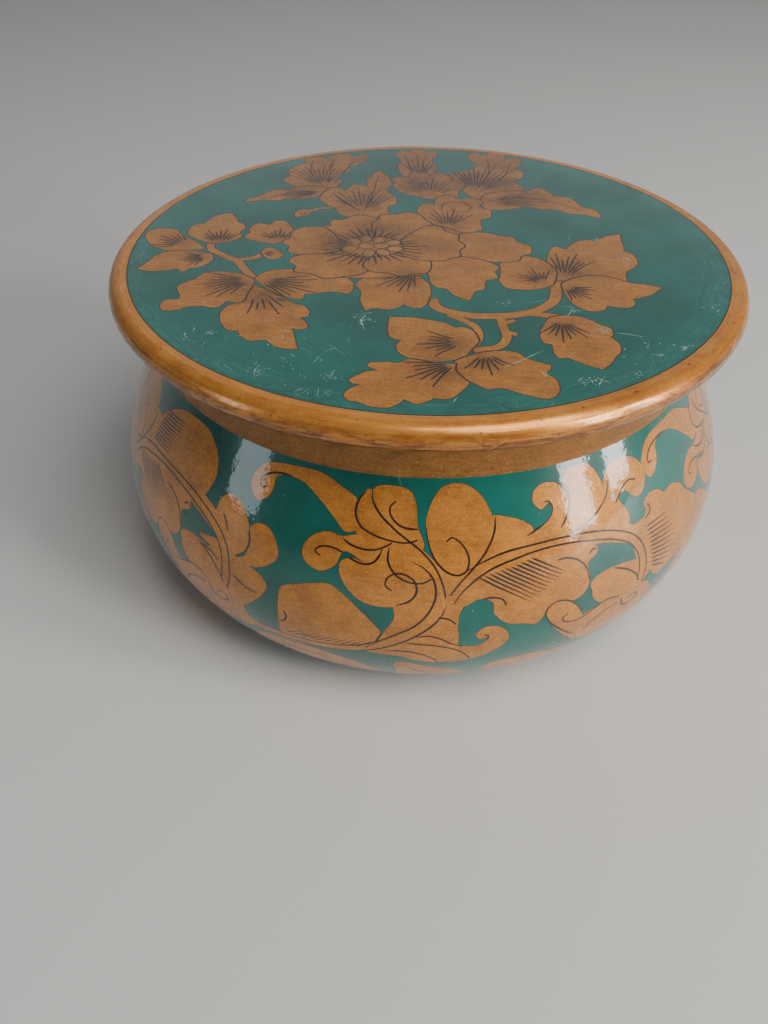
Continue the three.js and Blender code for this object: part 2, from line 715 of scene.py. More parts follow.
class Nodes:
    """Adds and links the nodes of one shader tree."""

    def __init__(self, tree: Tree) -> None:
        """Works on the given tree."""
        self.tree = tree

    def add(self, kind: str, inputs: dict[str | int, object] | None = None, **settings: object) -> Node:
        """Adds a node.

        Args:
            kind: The node's type.
            inputs: A value or another node's output for each input, by its name or place.
            settings: The node's own settings.

        Returns:
            The node.
        """
        node = self.tree.nodes.new(kind)
        for name, value in settings.items():
            setattr(node, name, value)
        for key, value in (inputs or {}).items():
            if isinstance(value, Socket):
                self.tree.links.new(value, node.inputs[key])
            elif isinstance(value, tuple) and len(value) == 3 and node.inputs[key].type == "RGBA":
                node.inputs[key].default_value = (*value, 1)
            else:
                node.inputs[key].default_value = value
        return node

    def link(self, node: Node, inputs: dict[str, Socket]) -> None:
        """Links outputs to the named inputs of a node.

        Args:
            node: The node.
            inputs: The output for each input.
        """
        for name, value in inputs.items():
            self.tree.links.new(value, node.inputs[name])

    def effect(self, group: Tree, place: Socket, **colours: Colour) -> Node:
        """Adds a shared node group at the given coordinates, with its colours."""
        return self.add("ShaderNodeGroup", {"Vector": place, **colours}, node_tree=group)

    def math(self, operation: str, first: object, second: object = 0.0, third: object = 0.0) -> Socket:
        """A sum of one, two or three values.

        Args:
            operation: Blender's name for it.
            first: The first value.
            second: The second value.
            third: The third value.

        Returns:
            The result.
        """
        return self.add("ShaderNodeMath", {0: first, 1: second, 2: third}, operation=operation).outputs[0]

    def times(self, first: object, second: object) -> Socket:
        """The product of two values."""
        return self.math("MULTIPLY", first, second)

    def ramp(
        self, value: object, low: float, high: float, to_low: float = 0.0, to_high: float = 1.0,
    ) -> Socket:
        """Maps a value smoothly from one range to another.

        Args:
            value: The value.
            low: Where the range begins.
            high: Where it ends.
            to_low: The result at its beginning.
            to_high: The result at its end.

        Returns:
            The mapped value.
        """
        inputs = {0: value, 1: low, 2: high, 3: to_low, 4: to_high}
        return self.add("ShaderNodeMapRange", inputs, interpolation_type="SMOOTHSTEP").outputs[0]

    def blend(self, share: object, first: object, second: object) -> Socket:
        """Mixes two colours.

        Args:
            share: How much of the second colour there is.
            first: The first colour.
            second: The second colour.

        Returns:
            The mixed colour.
        """
        return self.add("ShaderNodeMix", {0: share, 6: first, 7: second}, data_type="RGBA").outputs[2]

    def noise(self, place: Socket, scale: float, detail: float = 2.0, rough: float = 0.5) -> Socket:
        """Soft random values.

        Args:
            place: The coordinates.
            scale: How fine they are, per metre.
            detail: How many finer layers are added.
            rough: How strong those are.

        Returns:
            The value from 0 to 1.
        """
        inputs = {"Vector": place, "Scale": scale, "Detail": detail, "Roughness": rough}
        return self.add("ShaderNodeTexNoise", inputs).outputs["Fac"]

    def dots(self, place: Socket, scale: float, channel: int, bare: float, size: float) -> Socket:
        """Small round dots, scattered at random.

        Args:
            place: The coordinates.
            scale: How many cells there are to a metre, with at most one dot each.
            channel: Which channel of a cell's random colour sets its dot's size.
            bare: The share of cells that have no dot.
            size: The largest dot, as a share of a cell.

        Returns:
            1 in a dot and 0 outside.
        """
        cells = self.add("ShaderNodeTexVoronoi", {"Vector": place, "Scale": scale})
        luck = self.add("ShaderNodeSeparateColor", {0: cells.outputs["Color"]}).outputs[channel]
        return self.math("LESS_THAN", cells.outputs["Distance"], self.ramp(luck, bare, 1.0, 0.0, size))

    def stretched(self, place: Socket, scale: tuple[float, float, float], turn: float = 0.0) -> Socket:
        """Coordinates turned about the upright axis and stretched.

        Args:
            place: The coordinates.
            scale: The stretch in each direction.
            turn: The turn in degrees.

        Returns:
            The new coordinates.
        """
        turned = self.add("ShaderNodeMapping", {"Vector": place, "Rotation": (0, 0, math.radians(turn))})
        return self.add("ShaderNodeMapping", {"Vector": turned.outputs[0], "Scale": scale}).outputs[0]

    def relief(self, height: Socket, depth: float) -> Socket:
        """A normal with a fine relief, whose depth is in metres."""
        inputs = {"Height": height, "Strength": 1.0, "Distance": depth}
        return self.add("ShaderNodeBump", inputs).outputs[0]


class Effects:
    """Shader node groups that several finishes share."""

    def __init__(self) -> None:
        """Builds each group once."""
        self.flake = self.build_flake()
        self.wear = self.build_wear()
        self.turning = self.build_turning()

    @staticmethod
    def group(name: str, inputs: dict[str, str], outputs: dict[str, str]) -> tuple[Nodes, Node, Node]:
        """Starts a node group.

        Args:
            name: Its name.
            inputs: The kind of each input socket.
            outputs: The kind of each output socket.

        Returns:
            The group's nodes, its input node and its output node.
        """
        tree = bpy.data.node_groups.new(name, "ShaderNodeTree")
        for socket, kind in inputs.items():
            tree.interface.new_socket(socket, in_out="INPUT", socket_type=kind)
        for socket, kind in outputs.items():
            tree.interface.new_socket(socket, in_out="OUTPUT", socket_type=kind)
        nodes = Nodes(tree)
        return nodes, nodes.add("NodeGroupInput"), nodes.add("NodeGroupOutput")

    def build_flake(self) -> Tree:
        """Bronze powder in paint: grains that differ in tone, under slow changes from the brush.

        Returns:
            The node group.
        """
        nodes, given, out = self.group(
            "Bronze powder",
            {"Vector": "NodeSocketVector", "Dark": "NodeSocketColor", "Light": "NodeSocketColor"},
            {"Color": "NodeSocketColor", "Roughness": "NodeSocketFloat", "Height": "NodeSocketFloat"},
        )
        place = given.outputs["Vector"]
        grain = nodes.add("ShaderNodeTexVoronoi", {"Vector": place, "Scale": 5600.0})
        single = nodes.add("ShaderNodeSeparateColor", {0: grain.outputs["Color"]}).outputs[0]
        cloud = nodes.noise(place, 160.0, 4.0, 0.6)
        brush = nodes.noise(nodes.stretched(place, (150.0, 1500.0, 1500.0), 8.0), 1.0, 3.0)
        tone = nodes.math("MULTIPLY_ADD", single, 0.18, nodes.math("MULTIPLY_ADD", cloud, 0.45, 0.06))
        tone = nodes.math("MULTIPLY_ADD", brush, 0.3, tone)
        colour = nodes.blend(nodes.ramp(tone, 0.15, 0.95), given.outputs["Dark"], given.outputs["Light"])
        glint = nodes.ramp(single, 0.96, 1.0, 0.0, 0.24)
        nodes.link(out, {
            "Color": nodes.blend(glint, colour, linear(255, 208, 130)),
            "Roughness": nodes.ramp(single, 0.0, 1.0, 0.5, 0.3),
            "Height": single,
        })
        return nodes.tree

    def build_wear(self) -> Tree:
        """Fine dust specks and hairline scratches in a clear coat.

        Returns:
            The node group.
        """
        nodes, given, out = self.group(
            "Lacquer wear",
            {"Vector": "NodeSocketVector"},
            {"Specks": "NodeSocketFloat", "Scratches": "NodeSocketFloat"},
        )
        place = given.outputs["Vector"]
        patchy = nodes.ramp(nodes.noise(place, 26.0, 3.0), 0.5, 0.66)
        specks = nodes.times(nodes.dots(place, 420.0, 1, 0.72, 0.1), patchy)
        dusty = nodes.ramp(nodes.noise(place, 44.0, 4.0, 0.7), 0.54, 0.68)
        grit = nodes.times(nodes.dots(place, 1300.0, 1, 0.7, 0.16), dusty)
        hairs: object = 0.0
        for turn in (12.0, -38.0, 71.0):
            along = nodes.stretched(place, (2600.0, 70.0, 70.0), turn)
            hair = nodes.ramp(nodes.noise(along, 1.0, 1.0), 0.73, 0.78)
            turned = nodes.stretched(place, (1, 1, 1), turn)
            scratched = nodes.ramp(nodes.noise(turned, 34.0), 0.55, 0.68)
            hairs = nodes.math("MAXIMUM", hairs, nodes.times(hair, scratched))
        nodes.link(out, {"Specks": nodes.math("MAXIMUM", specks, grit), "Scratches": hairs})
        return nodes.tree

    def build_turning(self) -> Tree:
        """Streaks that run round a turned edge, and small pits.

        Returns:
            The node group.
        """
        nodes, given, out = self.group(
            "Turned streaks",
            {"Vector": "NodeSocketVector"},
            {"Streaks": "NodeSocketFloat", "Pits": "NodeSocketFloat", "Edge": "NodeSocketFloat"},
        )
        place = given.outputs["Vector"]
        parts = nodes.add("ShaderNodeSeparateXYZ", {0: place}).outputs
        flat = nodes.add("ShaderNodeCombineXYZ", {0: parts[0], 1: parts[1]}).outputs[0]
        radius = nodes.add("ShaderNodeVectorMath", {0: flat}, operation="LENGTH").outputs["Value"]
        drift = nodes.times(nodes.noise(place, 60.0, 3.0), 9.0)
        profile = {0: nodes.times(radius, 900.0), 1: nodes.times(parts[2], 900.0), 2: drift}
        rolled = nodes.add("ShaderNodeCombineXYZ", profile).outputs[0]
        nodes.link(out, {
            "Streaks": nodes.noise(rolled, 1.4, 4.0, 0.65),
            "Pits": nodes.dots(place, 640.0, 0, 0.5, 0.2),
            "Edge": nodes.ramp(radius, 0.061, 0.069),
        })
        return nodes.tree


@dataclass(frozen=True)
class Look:
    """What a finish gives its shader: colour, roughness and, where it has one, a relief in metres."""

    colour: Socket
    roughness: Socket
    height: Socket | None = None
    depth: float = 0.0


@dataclass(frozen=True)
class Finish(ABC):
    """What every finish has: a name, and the plain values of its shader."""

    name: str
    coat: float = 0.9
    coat_roughness: float = 0.05
    coat_waves: float = 0.00007
    metallic: float = 0.0
    specular: float = 0.2

    @abstractmethod
    def look(self, nodes: Nodes, effects: Effects, place: Socket) -> Look:
        """Works out what the shader is given.

        Args:
            nodes: The material's nodes.
            effects: The shared node groups.
            place: The coordinates of the piece.

        Returns:
            The colour, the roughness and the relief.
        """

    def make(self, effects: Effects) -> Material:
        """Builds the material, whose clear coat waves a little where the paint has a relief.

        Args:
            effects: The shared node groups.

        Returns:
            The material.
        """
        material = bpy.data.materials.new(self.name)
        material.use_nodes = True
        nodes = Nodes(material.node_tree)
        shader = material.node_tree.nodes["Principled BSDF"]
        shader.inputs["Coat Weight"].default_value = self.coat
        shader.inputs["Coat Roughness"].default_value = self.coat_roughness
        shader.inputs["Metallic"].default_value = self.metallic
        shader.inputs["Specular IOR Level"].default_value = self.specular
        place = nodes.add("ShaderNodeTexCoord").outputs["Object"]
        look = self.look(nodes, effects, place)
        nodes.link(shader, {"Base Color": look.colour, "Roughness": look.roughness})
        if look.height is not None:
            waves = nodes.noise(place, 280.0, 3.0, 0.6)
            nodes.link(shader, {
                "Normal": nodes.relief(look.height, look.depth),
                "Coat Normal": nodes.relief(waves, self.coat_waves),
            })
        return material


@dataclass(frozen=True)
class Lacquer(Finish):
    """Glossy coloured lacquer with slow changes of tone, specks and hairline scratches."""

    deep: Colour = linear(5, 76, 67)
    clear: Colour = linear(8, 95, 85)
    rings: float = 0.0

    def look(self, nodes: Nodes, effects: Effects, place: Socket) -> Look:
        """Works out what the shader is given.

        Args:
            nodes: The material's nodes.
            effects: The shared node groups.
            place: The coordinates of the piece.

        Returns:
            The colour, the roughness and the relief.
        """
        tone = nodes.ramp(nodes.noise(place, 46.0, 5.0, 0.6), 0.3, 0.7)
        colour = nodes.blend(tone, self.deep, self.clear)
        # Lighter streaky rings towards the outer edge of the green.
        if self.rings:
            turning = nodes.effect(effects.turning, place).outputs
            ringed = nodes.times(nodes.ramp(turning["Streaks"], 0.3, 0.8), turning["Edge"])
            colour = nodes.blend(nodes.times(ringed, self.rings), colour, linear(92, 156, 146))
        wear = nodes.effect(effects.wear, place).outputs
        colour = nodes.blend(nodes.times(wear["Scratches"], 0.35), colour, linear(150, 190, 180))
        colour = nodes.blend(nodes.times(wear["Specks"], 0.7), colour, linear(200, 220, 212))
        smooth = nodes.ramp(nodes.noise(place, 70.0, 3.0), 0.3, 0.7, 0.22, 0.34)
        rough = nodes.math("ADD", smooth, nodes.times(wear["Specks"], 0.4))
        return Look(colour, rough, nodes.noise(place, 120.0, 2.0), 0.00003)


@dataclass(frozen=True)
class GoldPaint(Finish):
    """Paint full of bronze powder."""

    dark: Colour = linear(118, 68, 20)
    light: Colour = linear(220, 146, 58)

    def look(self, nodes: Nodes, effects: Effects, place: Socket) -> Look:
        """Works out what the shader is given.

        Args:
            nodes: The material's nodes.
            effects: The shared node groups.
            place: The coordinates of the piece.

        Returns:
            The colour, the roughness and the relief.
        """
        flake = nodes.effect(effects.flake, place, Dark=self.dark, Light=self.light).outputs
        # Darkened by the shade attribute: mostly painted smoke, and in part painted shade over the back
        # of the lid's spray.
        shade = nodes.add("ShaderNodeAttribute", attribute_name=SHADE).outputs["Fac"]
        patchy = nodes.ramp(nodes.noise(place, 620.0, 3.0), 0.3, 0.65, 0.6, 1.0)
        colour = nodes.blend(nodes.times(shade, patchy), flake["Color"], linear(60, 35, 18))
        wear = nodes.effect(effects.wear, place).outputs
        colour = nodes.blend(nodes.times(wear["Specks"], 0.5), colour, linear(235, 215, 180))
        colour = nodes.blend(nodes.times(wear["Scratches"], 0.25), colour, linear(225, 190, 140))
        return Look(colour, flake["Roughness"], flake["Height"], 0.00002)


@dataclass(frozen=True)
class RimGold(Finish):
    """Smooth gold on a turned edge, with streaks round it, dark pits, and painted shade with streaky wear
    on its lower side.
    """

    dark: Colour = linear(206, 112, 38)
    light: Colour = linear(255, 188, 92)
    # Colour of the painted shade, with some wear, on the lower side of the rim.
    shade_and_wear: Colour = linear(72, 38, 20)
    pitted: Colour = linear(92, 48, 20)
    # Heights in metres over which the painted shade on the lower side fades out.
    foot: float = 0.0802
    crest: float = 0.0842

    def look(self, nodes: Nodes, effects: Effects, place: Socket) -> Look:
        """Works out what the shader is given.

        Args:
            nodes: The material's nodes.
            effects: The shared node groups.
            place: The coordinates of the piece.

        Returns:
            The colour, the roughness and the relief.
        """
        turning = nodes.effect(effects.turning, place).outputs
        streaks = turning["Streaks"]
        flake = nodes.effect(effects.flake, place, Dark=self.dark, Light=self.light).outputs
        colour = nodes.blend(nodes.ramp(streaks, 0.25, 0.6, 0.6, 0.0), flake["Color"], self.dark)
        # Painted shade with streaky wear: the rim turns darker towards its lower side, below an uneven
        # line between foot and crest.
        height = nodes.add("ShaderNodeSeparateXYZ", {0: place}).outputs[2]
        uneven = nodes.math("MULTIPLY_ADD", nodes.noise(place, 22.0, 5.0, 0.7), 0.007, height)
        low = nodes.ramp(uneven, self.foot, self.crest, 0.95, 0.0)
        streaky = nodes.ramp(streaks, 0.36, 0.66, 1.0, 0.45)
        colour = nodes.blend(nodes.times(low, streaky), colour, self.shade_and_wear)
        colour = nodes.blend(nodes.times(turning["Pits"], 0.6), colour, self.pitted)
        return Look(colour, nodes.ramp(streaks, 0.3, 0.7, 0.36, 0.24), streaks, 0.00004)


@dataclass(frozen=True)
class PlainCoat(Finish):
    """One quiet colour with a little change of tone."""

    dark: Colour = linear(30, 18, 12)
    light: Colour = linear(50, 31, 20)

    def look(self, nodes: Nodes, effects: Effects, place: Socket) -> Look:
        """Works out what the shader is given.

        Args:
            nodes: The material's nodes.
            effects: The shared node groups, of which it uses none.
            place: The coordinates of the piece.

        Returns:
            The colour and the roughness.
        """
        tone = nodes.ramp(nodes.noise(place, 240.0, 4.0, 0.6), 0.3, 0.7)
        rough = nodes.ramp(nodes.noise(place, 90.0, 3.0), 0.3, 0.7, 0.35, 0.5)
        return Look(nodes.blend(tone, self.dark, self.light), rough)


class Palette:
    """The finished materials of the box."""

    def __init__(self) -> None:
        """Makes each material once."""
        effects = Effects()
        self.lid_green = Lacquer("lid_green_lacquer", rings=0.24).make(effects)
        self.bowl_green = Lacquer("bowl_green_lacquer").make(effects)
        self.gold = GoldPaint("gold_paint", metallic=0.25, coat_roughness=0.07).make(effects)
        self.pale = GoldPaint(
            "pale_gold_paint", metallic=0.25, coat_roughness=0.07,
            dark=linear(146, 92, 40), light=linear(222, 158, 78),
        ).make(effects)
        self.ink = PlainCoat("brown_ink").make(effects)
        self.scuff = PlainCoat(
            "scuffed_white", coat=0.2, coat_roughness=0.3,
            dark=linear(118, 160, 146), light=linear(186, 208, 195),
        ).make(effects)
        self.rim = RimGold("rim_gold", coat=0.5, metallic=0.55, coat_roughness=0.12).make(effects)
        self.collar = GoldPaint(
            "collar_gold", coat=0.25, coat_roughness=0.25, metallic=0.35,
            dark=linear(82, 52, 22), light=linear(172, 116, 52),
        ).make(effects)
        self.inside = PlainCoat("inside_lacquer", coat=0.5, coat_roughness=0.2).make(effects)

    def for_lid(self) -> list[Material]:
        """The lid's materials in the order of the pigments."""
        return [self.lid_green, self.gold, self.ink, self.pale, self.scuff, self.rim, self.inside]

    def for_bowl(self) -> list[Material]:
        """The bowl's materials in the order of the pigments."""
        return [self.bowl_green, self.gold, self.ink, self.pale, self.scuff, self.collar, self.inside]


# The lid


LID_LEAVES_BEHIND = (
    Leaf(
        (((-4.4, 48), (-5.6, 54), (-4.6, 60)), ((-6.2, 64.6), (-4.6, 68.2), (-2, 67.6)),
         ((-0.4, 69.8), (2.6, 68.8), (3, 67)),
         ((6, 68.4), (6.4, 64), (4.6, 60.4)), ((5.8, 55), (5, 50), (6, 44), (-4, 44))),
        Fan((0.4, 44), 74, 106, 3.4, 21, 7),
    ),
    Leaf(
        (((-28, 37), (-34, 39), (-38, 44)), ((-36, 47), (-37.2, 52), (-33.6, 56.6)),
         ((-32, 57.6), (-33, 61.2), (-28.6, 63)),
         ((-26.6, 61.6), (-24, 65.4), (-20, 65)), ((-18.6, 63), (-15, 65.4), (-14.6, 60), (-17.6, 56)),
         ((-20, 55), (-19.6, 51), (-22.4, 47)), ((-21.4, 42), (-24, 38))),
        Fan((-26.6, 38.6), 70, 132, 3, 20, 12),
    ),
    Leaf(
        (((-24, 36), (-28, 39.6), (-33.6, 38.6)), ((-36, 37.4), (-40.6, 36), (-43, 32.4)),
         ((-44, 31.4), (-46, 30.4), (-46.8, 28.4)),
         ((-42, 29.6), (-38.4, 29)), ((-36.4, 30.4), (-31.4, 30.4), (-26, 32.6))),
        Fan((-26, 35.4), 176, 208, 2, 14, 7),
    ),
    Leaf(
        (((9, 42), (8.6, 47.6), (12.4, 50.6)), ((14.6, 51.4), (17.6, 55.4), (16.2, 59.6)),
         ((15.4, 63.6), (17.4, 66.8), (20.6, 64.6)),
         ((23, 67.2), (26.6, 65.4), (27, 62)), ((30.4, 62.4), (31, 57.4), (28.4, 54)),
         ((30.4, 50.6), (29.4, 45.6), (27, 43)),
         ((29.4, 38), (24, 31), (16, 29))),
        Fan((14.6, 33.6), 42, 102, 4, 25, 14),
    ),
    Leaf(
        (((15.6, 27), (18, 33.4), (26, 36)), ((28.6, 35.4), (33, 38), (35.6, 34)),
         ((36.2, 32.4), (40.4, 30.6), (42, 26)),
         ((42.6, 24.4), (45.6, 22), (45.8, 17.6)), ((42, 19.6), (38, 20.6), (35.4, 23)),
         ((31.6, 22.8), (28, 25), (24.6, 23.6)),
         ((20.6, 22.8), (17, 23.4))),
        Fan((17, 28), -16, 32, 3, 17, 9),
    ),
    Leaf(
        (((0.6, 31), (-4, 34), (-7.4, 39)), ((-6.6, 42), (-7.4, 45.6), (-4, 46.6)),
         ((-2.6, 46), (-1.4, 50), (2, 49.4)),
         ((3.6, 47), (6.4, 49.4), (9.2, 46.4)), ((9, 43.6), (12.6, 42), (12, 37.4)),
         ((10.4, 36), (9.6, 31.4), (4, 30))),
        Fan((2.6, 32.4), 34, 142, 3, 14, 14),
    ),
    Leaf(
        (((-16, 17), (-21, 19.6), (-22.6, 24)), ((-24.4, 25.6), (-27, 30), (-26.2, 35)),
         ((-24.6, 38.2), (-21.6, 38), (-20.4, 36)),
         ((-18.6, 40.6), (-15, 40), (-14.4, 37)), ((-14.6, 43.6), (-13, 48), (-11, 51)),
         ((-8.6, 47), (-7.6, 41), (-9, 35.6)),
         ((-6.8, 32.4), (-6.6, 27), (-9, 24.6)), ((-8.6, 20), (-11, 17))),
        Fan((-15.6, 19.6), 60, 122, 5, 19, 12),
    ),
    Leaf(
        (((1.5, 8), (2, 14), (-0.4, 18.6)), ((-1.4, 23), (0.6, 27), (3.4, 26.6)),
         ((4, 30.6), (7.4, 33), (10.4, 30)),
         ((13.4, 31), (16.4, 28.4), (15.2, 24.6)), ((18, 22.4), (17.4, 17.6), (14.8, 16)),
         ((14.6, 10), (8, 7))),
        Fan((6, 11), 55, 118, 2, 13, 9),
    ),
    Leaf(
        (((-32.8, 18), (-33, 21), (-31, 23)), ((-28.6, 22), (-29.6, 19.6))),
        Fan((-31, 19), 60, 110, 0.5, 2.6, 2),
    ),
)
LID_LINES = (
    ((-25.6, 35.2), (-34, 34.6), (-43.4, 30)),
    ((-27, 41), (-30.6, 50), (-30.4, 60)),
    ((-25.4, 41), (-25, 51), (-24.4, 62)),
    ((-24, 41), (-20.6, 52), (-17.6, 62)),
    ((-1.6, 50), (-2.4, 58), (-3.4, 66)),
    ((1.8, 50), (2, 58), (3.4, 65)),
    ((15, 36), (20, 48), (21.4, 62)),
    ((16, 35), (24, 46), (28, 59)),
    ((17, 28.4), (30, 31), (43, 21.6)),
    ((-16, 22), (-20.6, 28), (-24, 35)),
    ((-15, 22), (-13, 33), (-11.2, 48)),
    ((5, 22), (6.2, 27), (10.4, 28), (13, 25), (11.4, 21.6), (8.4, 22), (8, 24.4), (9.8, 25)),
)
LID_SHADES = (
    Shade((-13, 8), 9.0, 0.75),
    Shade((-22, 2), 7.0, 0.78),
    Shade((-16, -6), 6.5, 0.5),
    Shade((-2, 2), 6.0, 0.55),
    Shade((5, 0), 5.0, 0.5),
    Shade((16, 3), 7.0, 0.3),
    # Painted shade in part: a broad dark bloom over the whole back of the spray, deeper than the painted
    # smoke alone, giving the far side its dim, low-contrast look.
    Shade((0, 54), 36.0, 0.5),
    Shade((0, 42), 9.0, 0.85),
    Shade((14, 45), 9.0, 0.88),
    Shade((24, 57), 10.0, 0.64),
    Shade((-16, 32), 9.0, 0.56),
    Shade((23, 40), 8.0, 0.75),
    Shade((28, 31), 10.0, 0.66),
    Shade((-26, 59), 7.0, 0.6),
    Shade((-32, 38), 8.0, 0.6),
    Shade((-12, 60), 9.0, 0.65),
    Shade((6, 15), 6.0, 0.5),
    Shade((-29, 42), 7.0, 0.35),
)
LID_SCRATCHES = (
    ((12.4, -54.4), (16.5, -51.4), (20.6, -48.5)),
    ((36.6, -41.2), (39.5, -42), (42, -43)),
    ((28, -34.6), (29, -32.8), (29.8, -31)),
    ((48.2, -48.4), (49.4, -47.4), (50.4, -46.2)),
    ((-14.4, -33), (-15.2, -36.5), (-14.6, -39.8)),
    ((-34.8, -53.4), (-35.3, -55.4), (-35.2, -57.5)),
    ((1.6, -66.4), (2.2, -65.2), (2.6, -64.4)),
)
LID_SCUFFS = (
    ((-15, -35.5), (1.8, 3.4), 64),
    ((-35, -55.5), (0.9, 3.2), 24),
    ((-21, -57.5), (2.6, 2.0), 28),
    ((-24, -63), (4.0, 2.0), 22),
    ((-50.8, -41.6), (0.3, 0.2), 5),
    ((-46, -41.2), (1.6, 0.8), 14),
    ((30, -31.5), (1.6, 1.6), 32),
    ((34.6, -40.2), (1.6, 2.0), 46),
    ((28.5, -59), (3.0, 2.0), 40),
    ((37.4, -57), (0.9, 0.8), 12),
    ((20, -56.8), (1.0, 0.6), 16),
    ((49, -47.4), (1.4, 0.9), 12),
    ((15.5, -28), (1.8, 1.2), 14),
    ((61, -31), (3.0, 3.0), 12),
    ((46.4, -7.4), (1.6, 2.6), 30),
    ((41.8, 4.6), (0.6, 2.0), 16),
    ((-28, -53), (12.0, 8.0), 54),
    ((-45, -42), (7.0, 6.0), 24),
    ((42, -50), (10.0, 7.0), 42),
    ((-30, -44), (6.0, 4.0), 18),
)
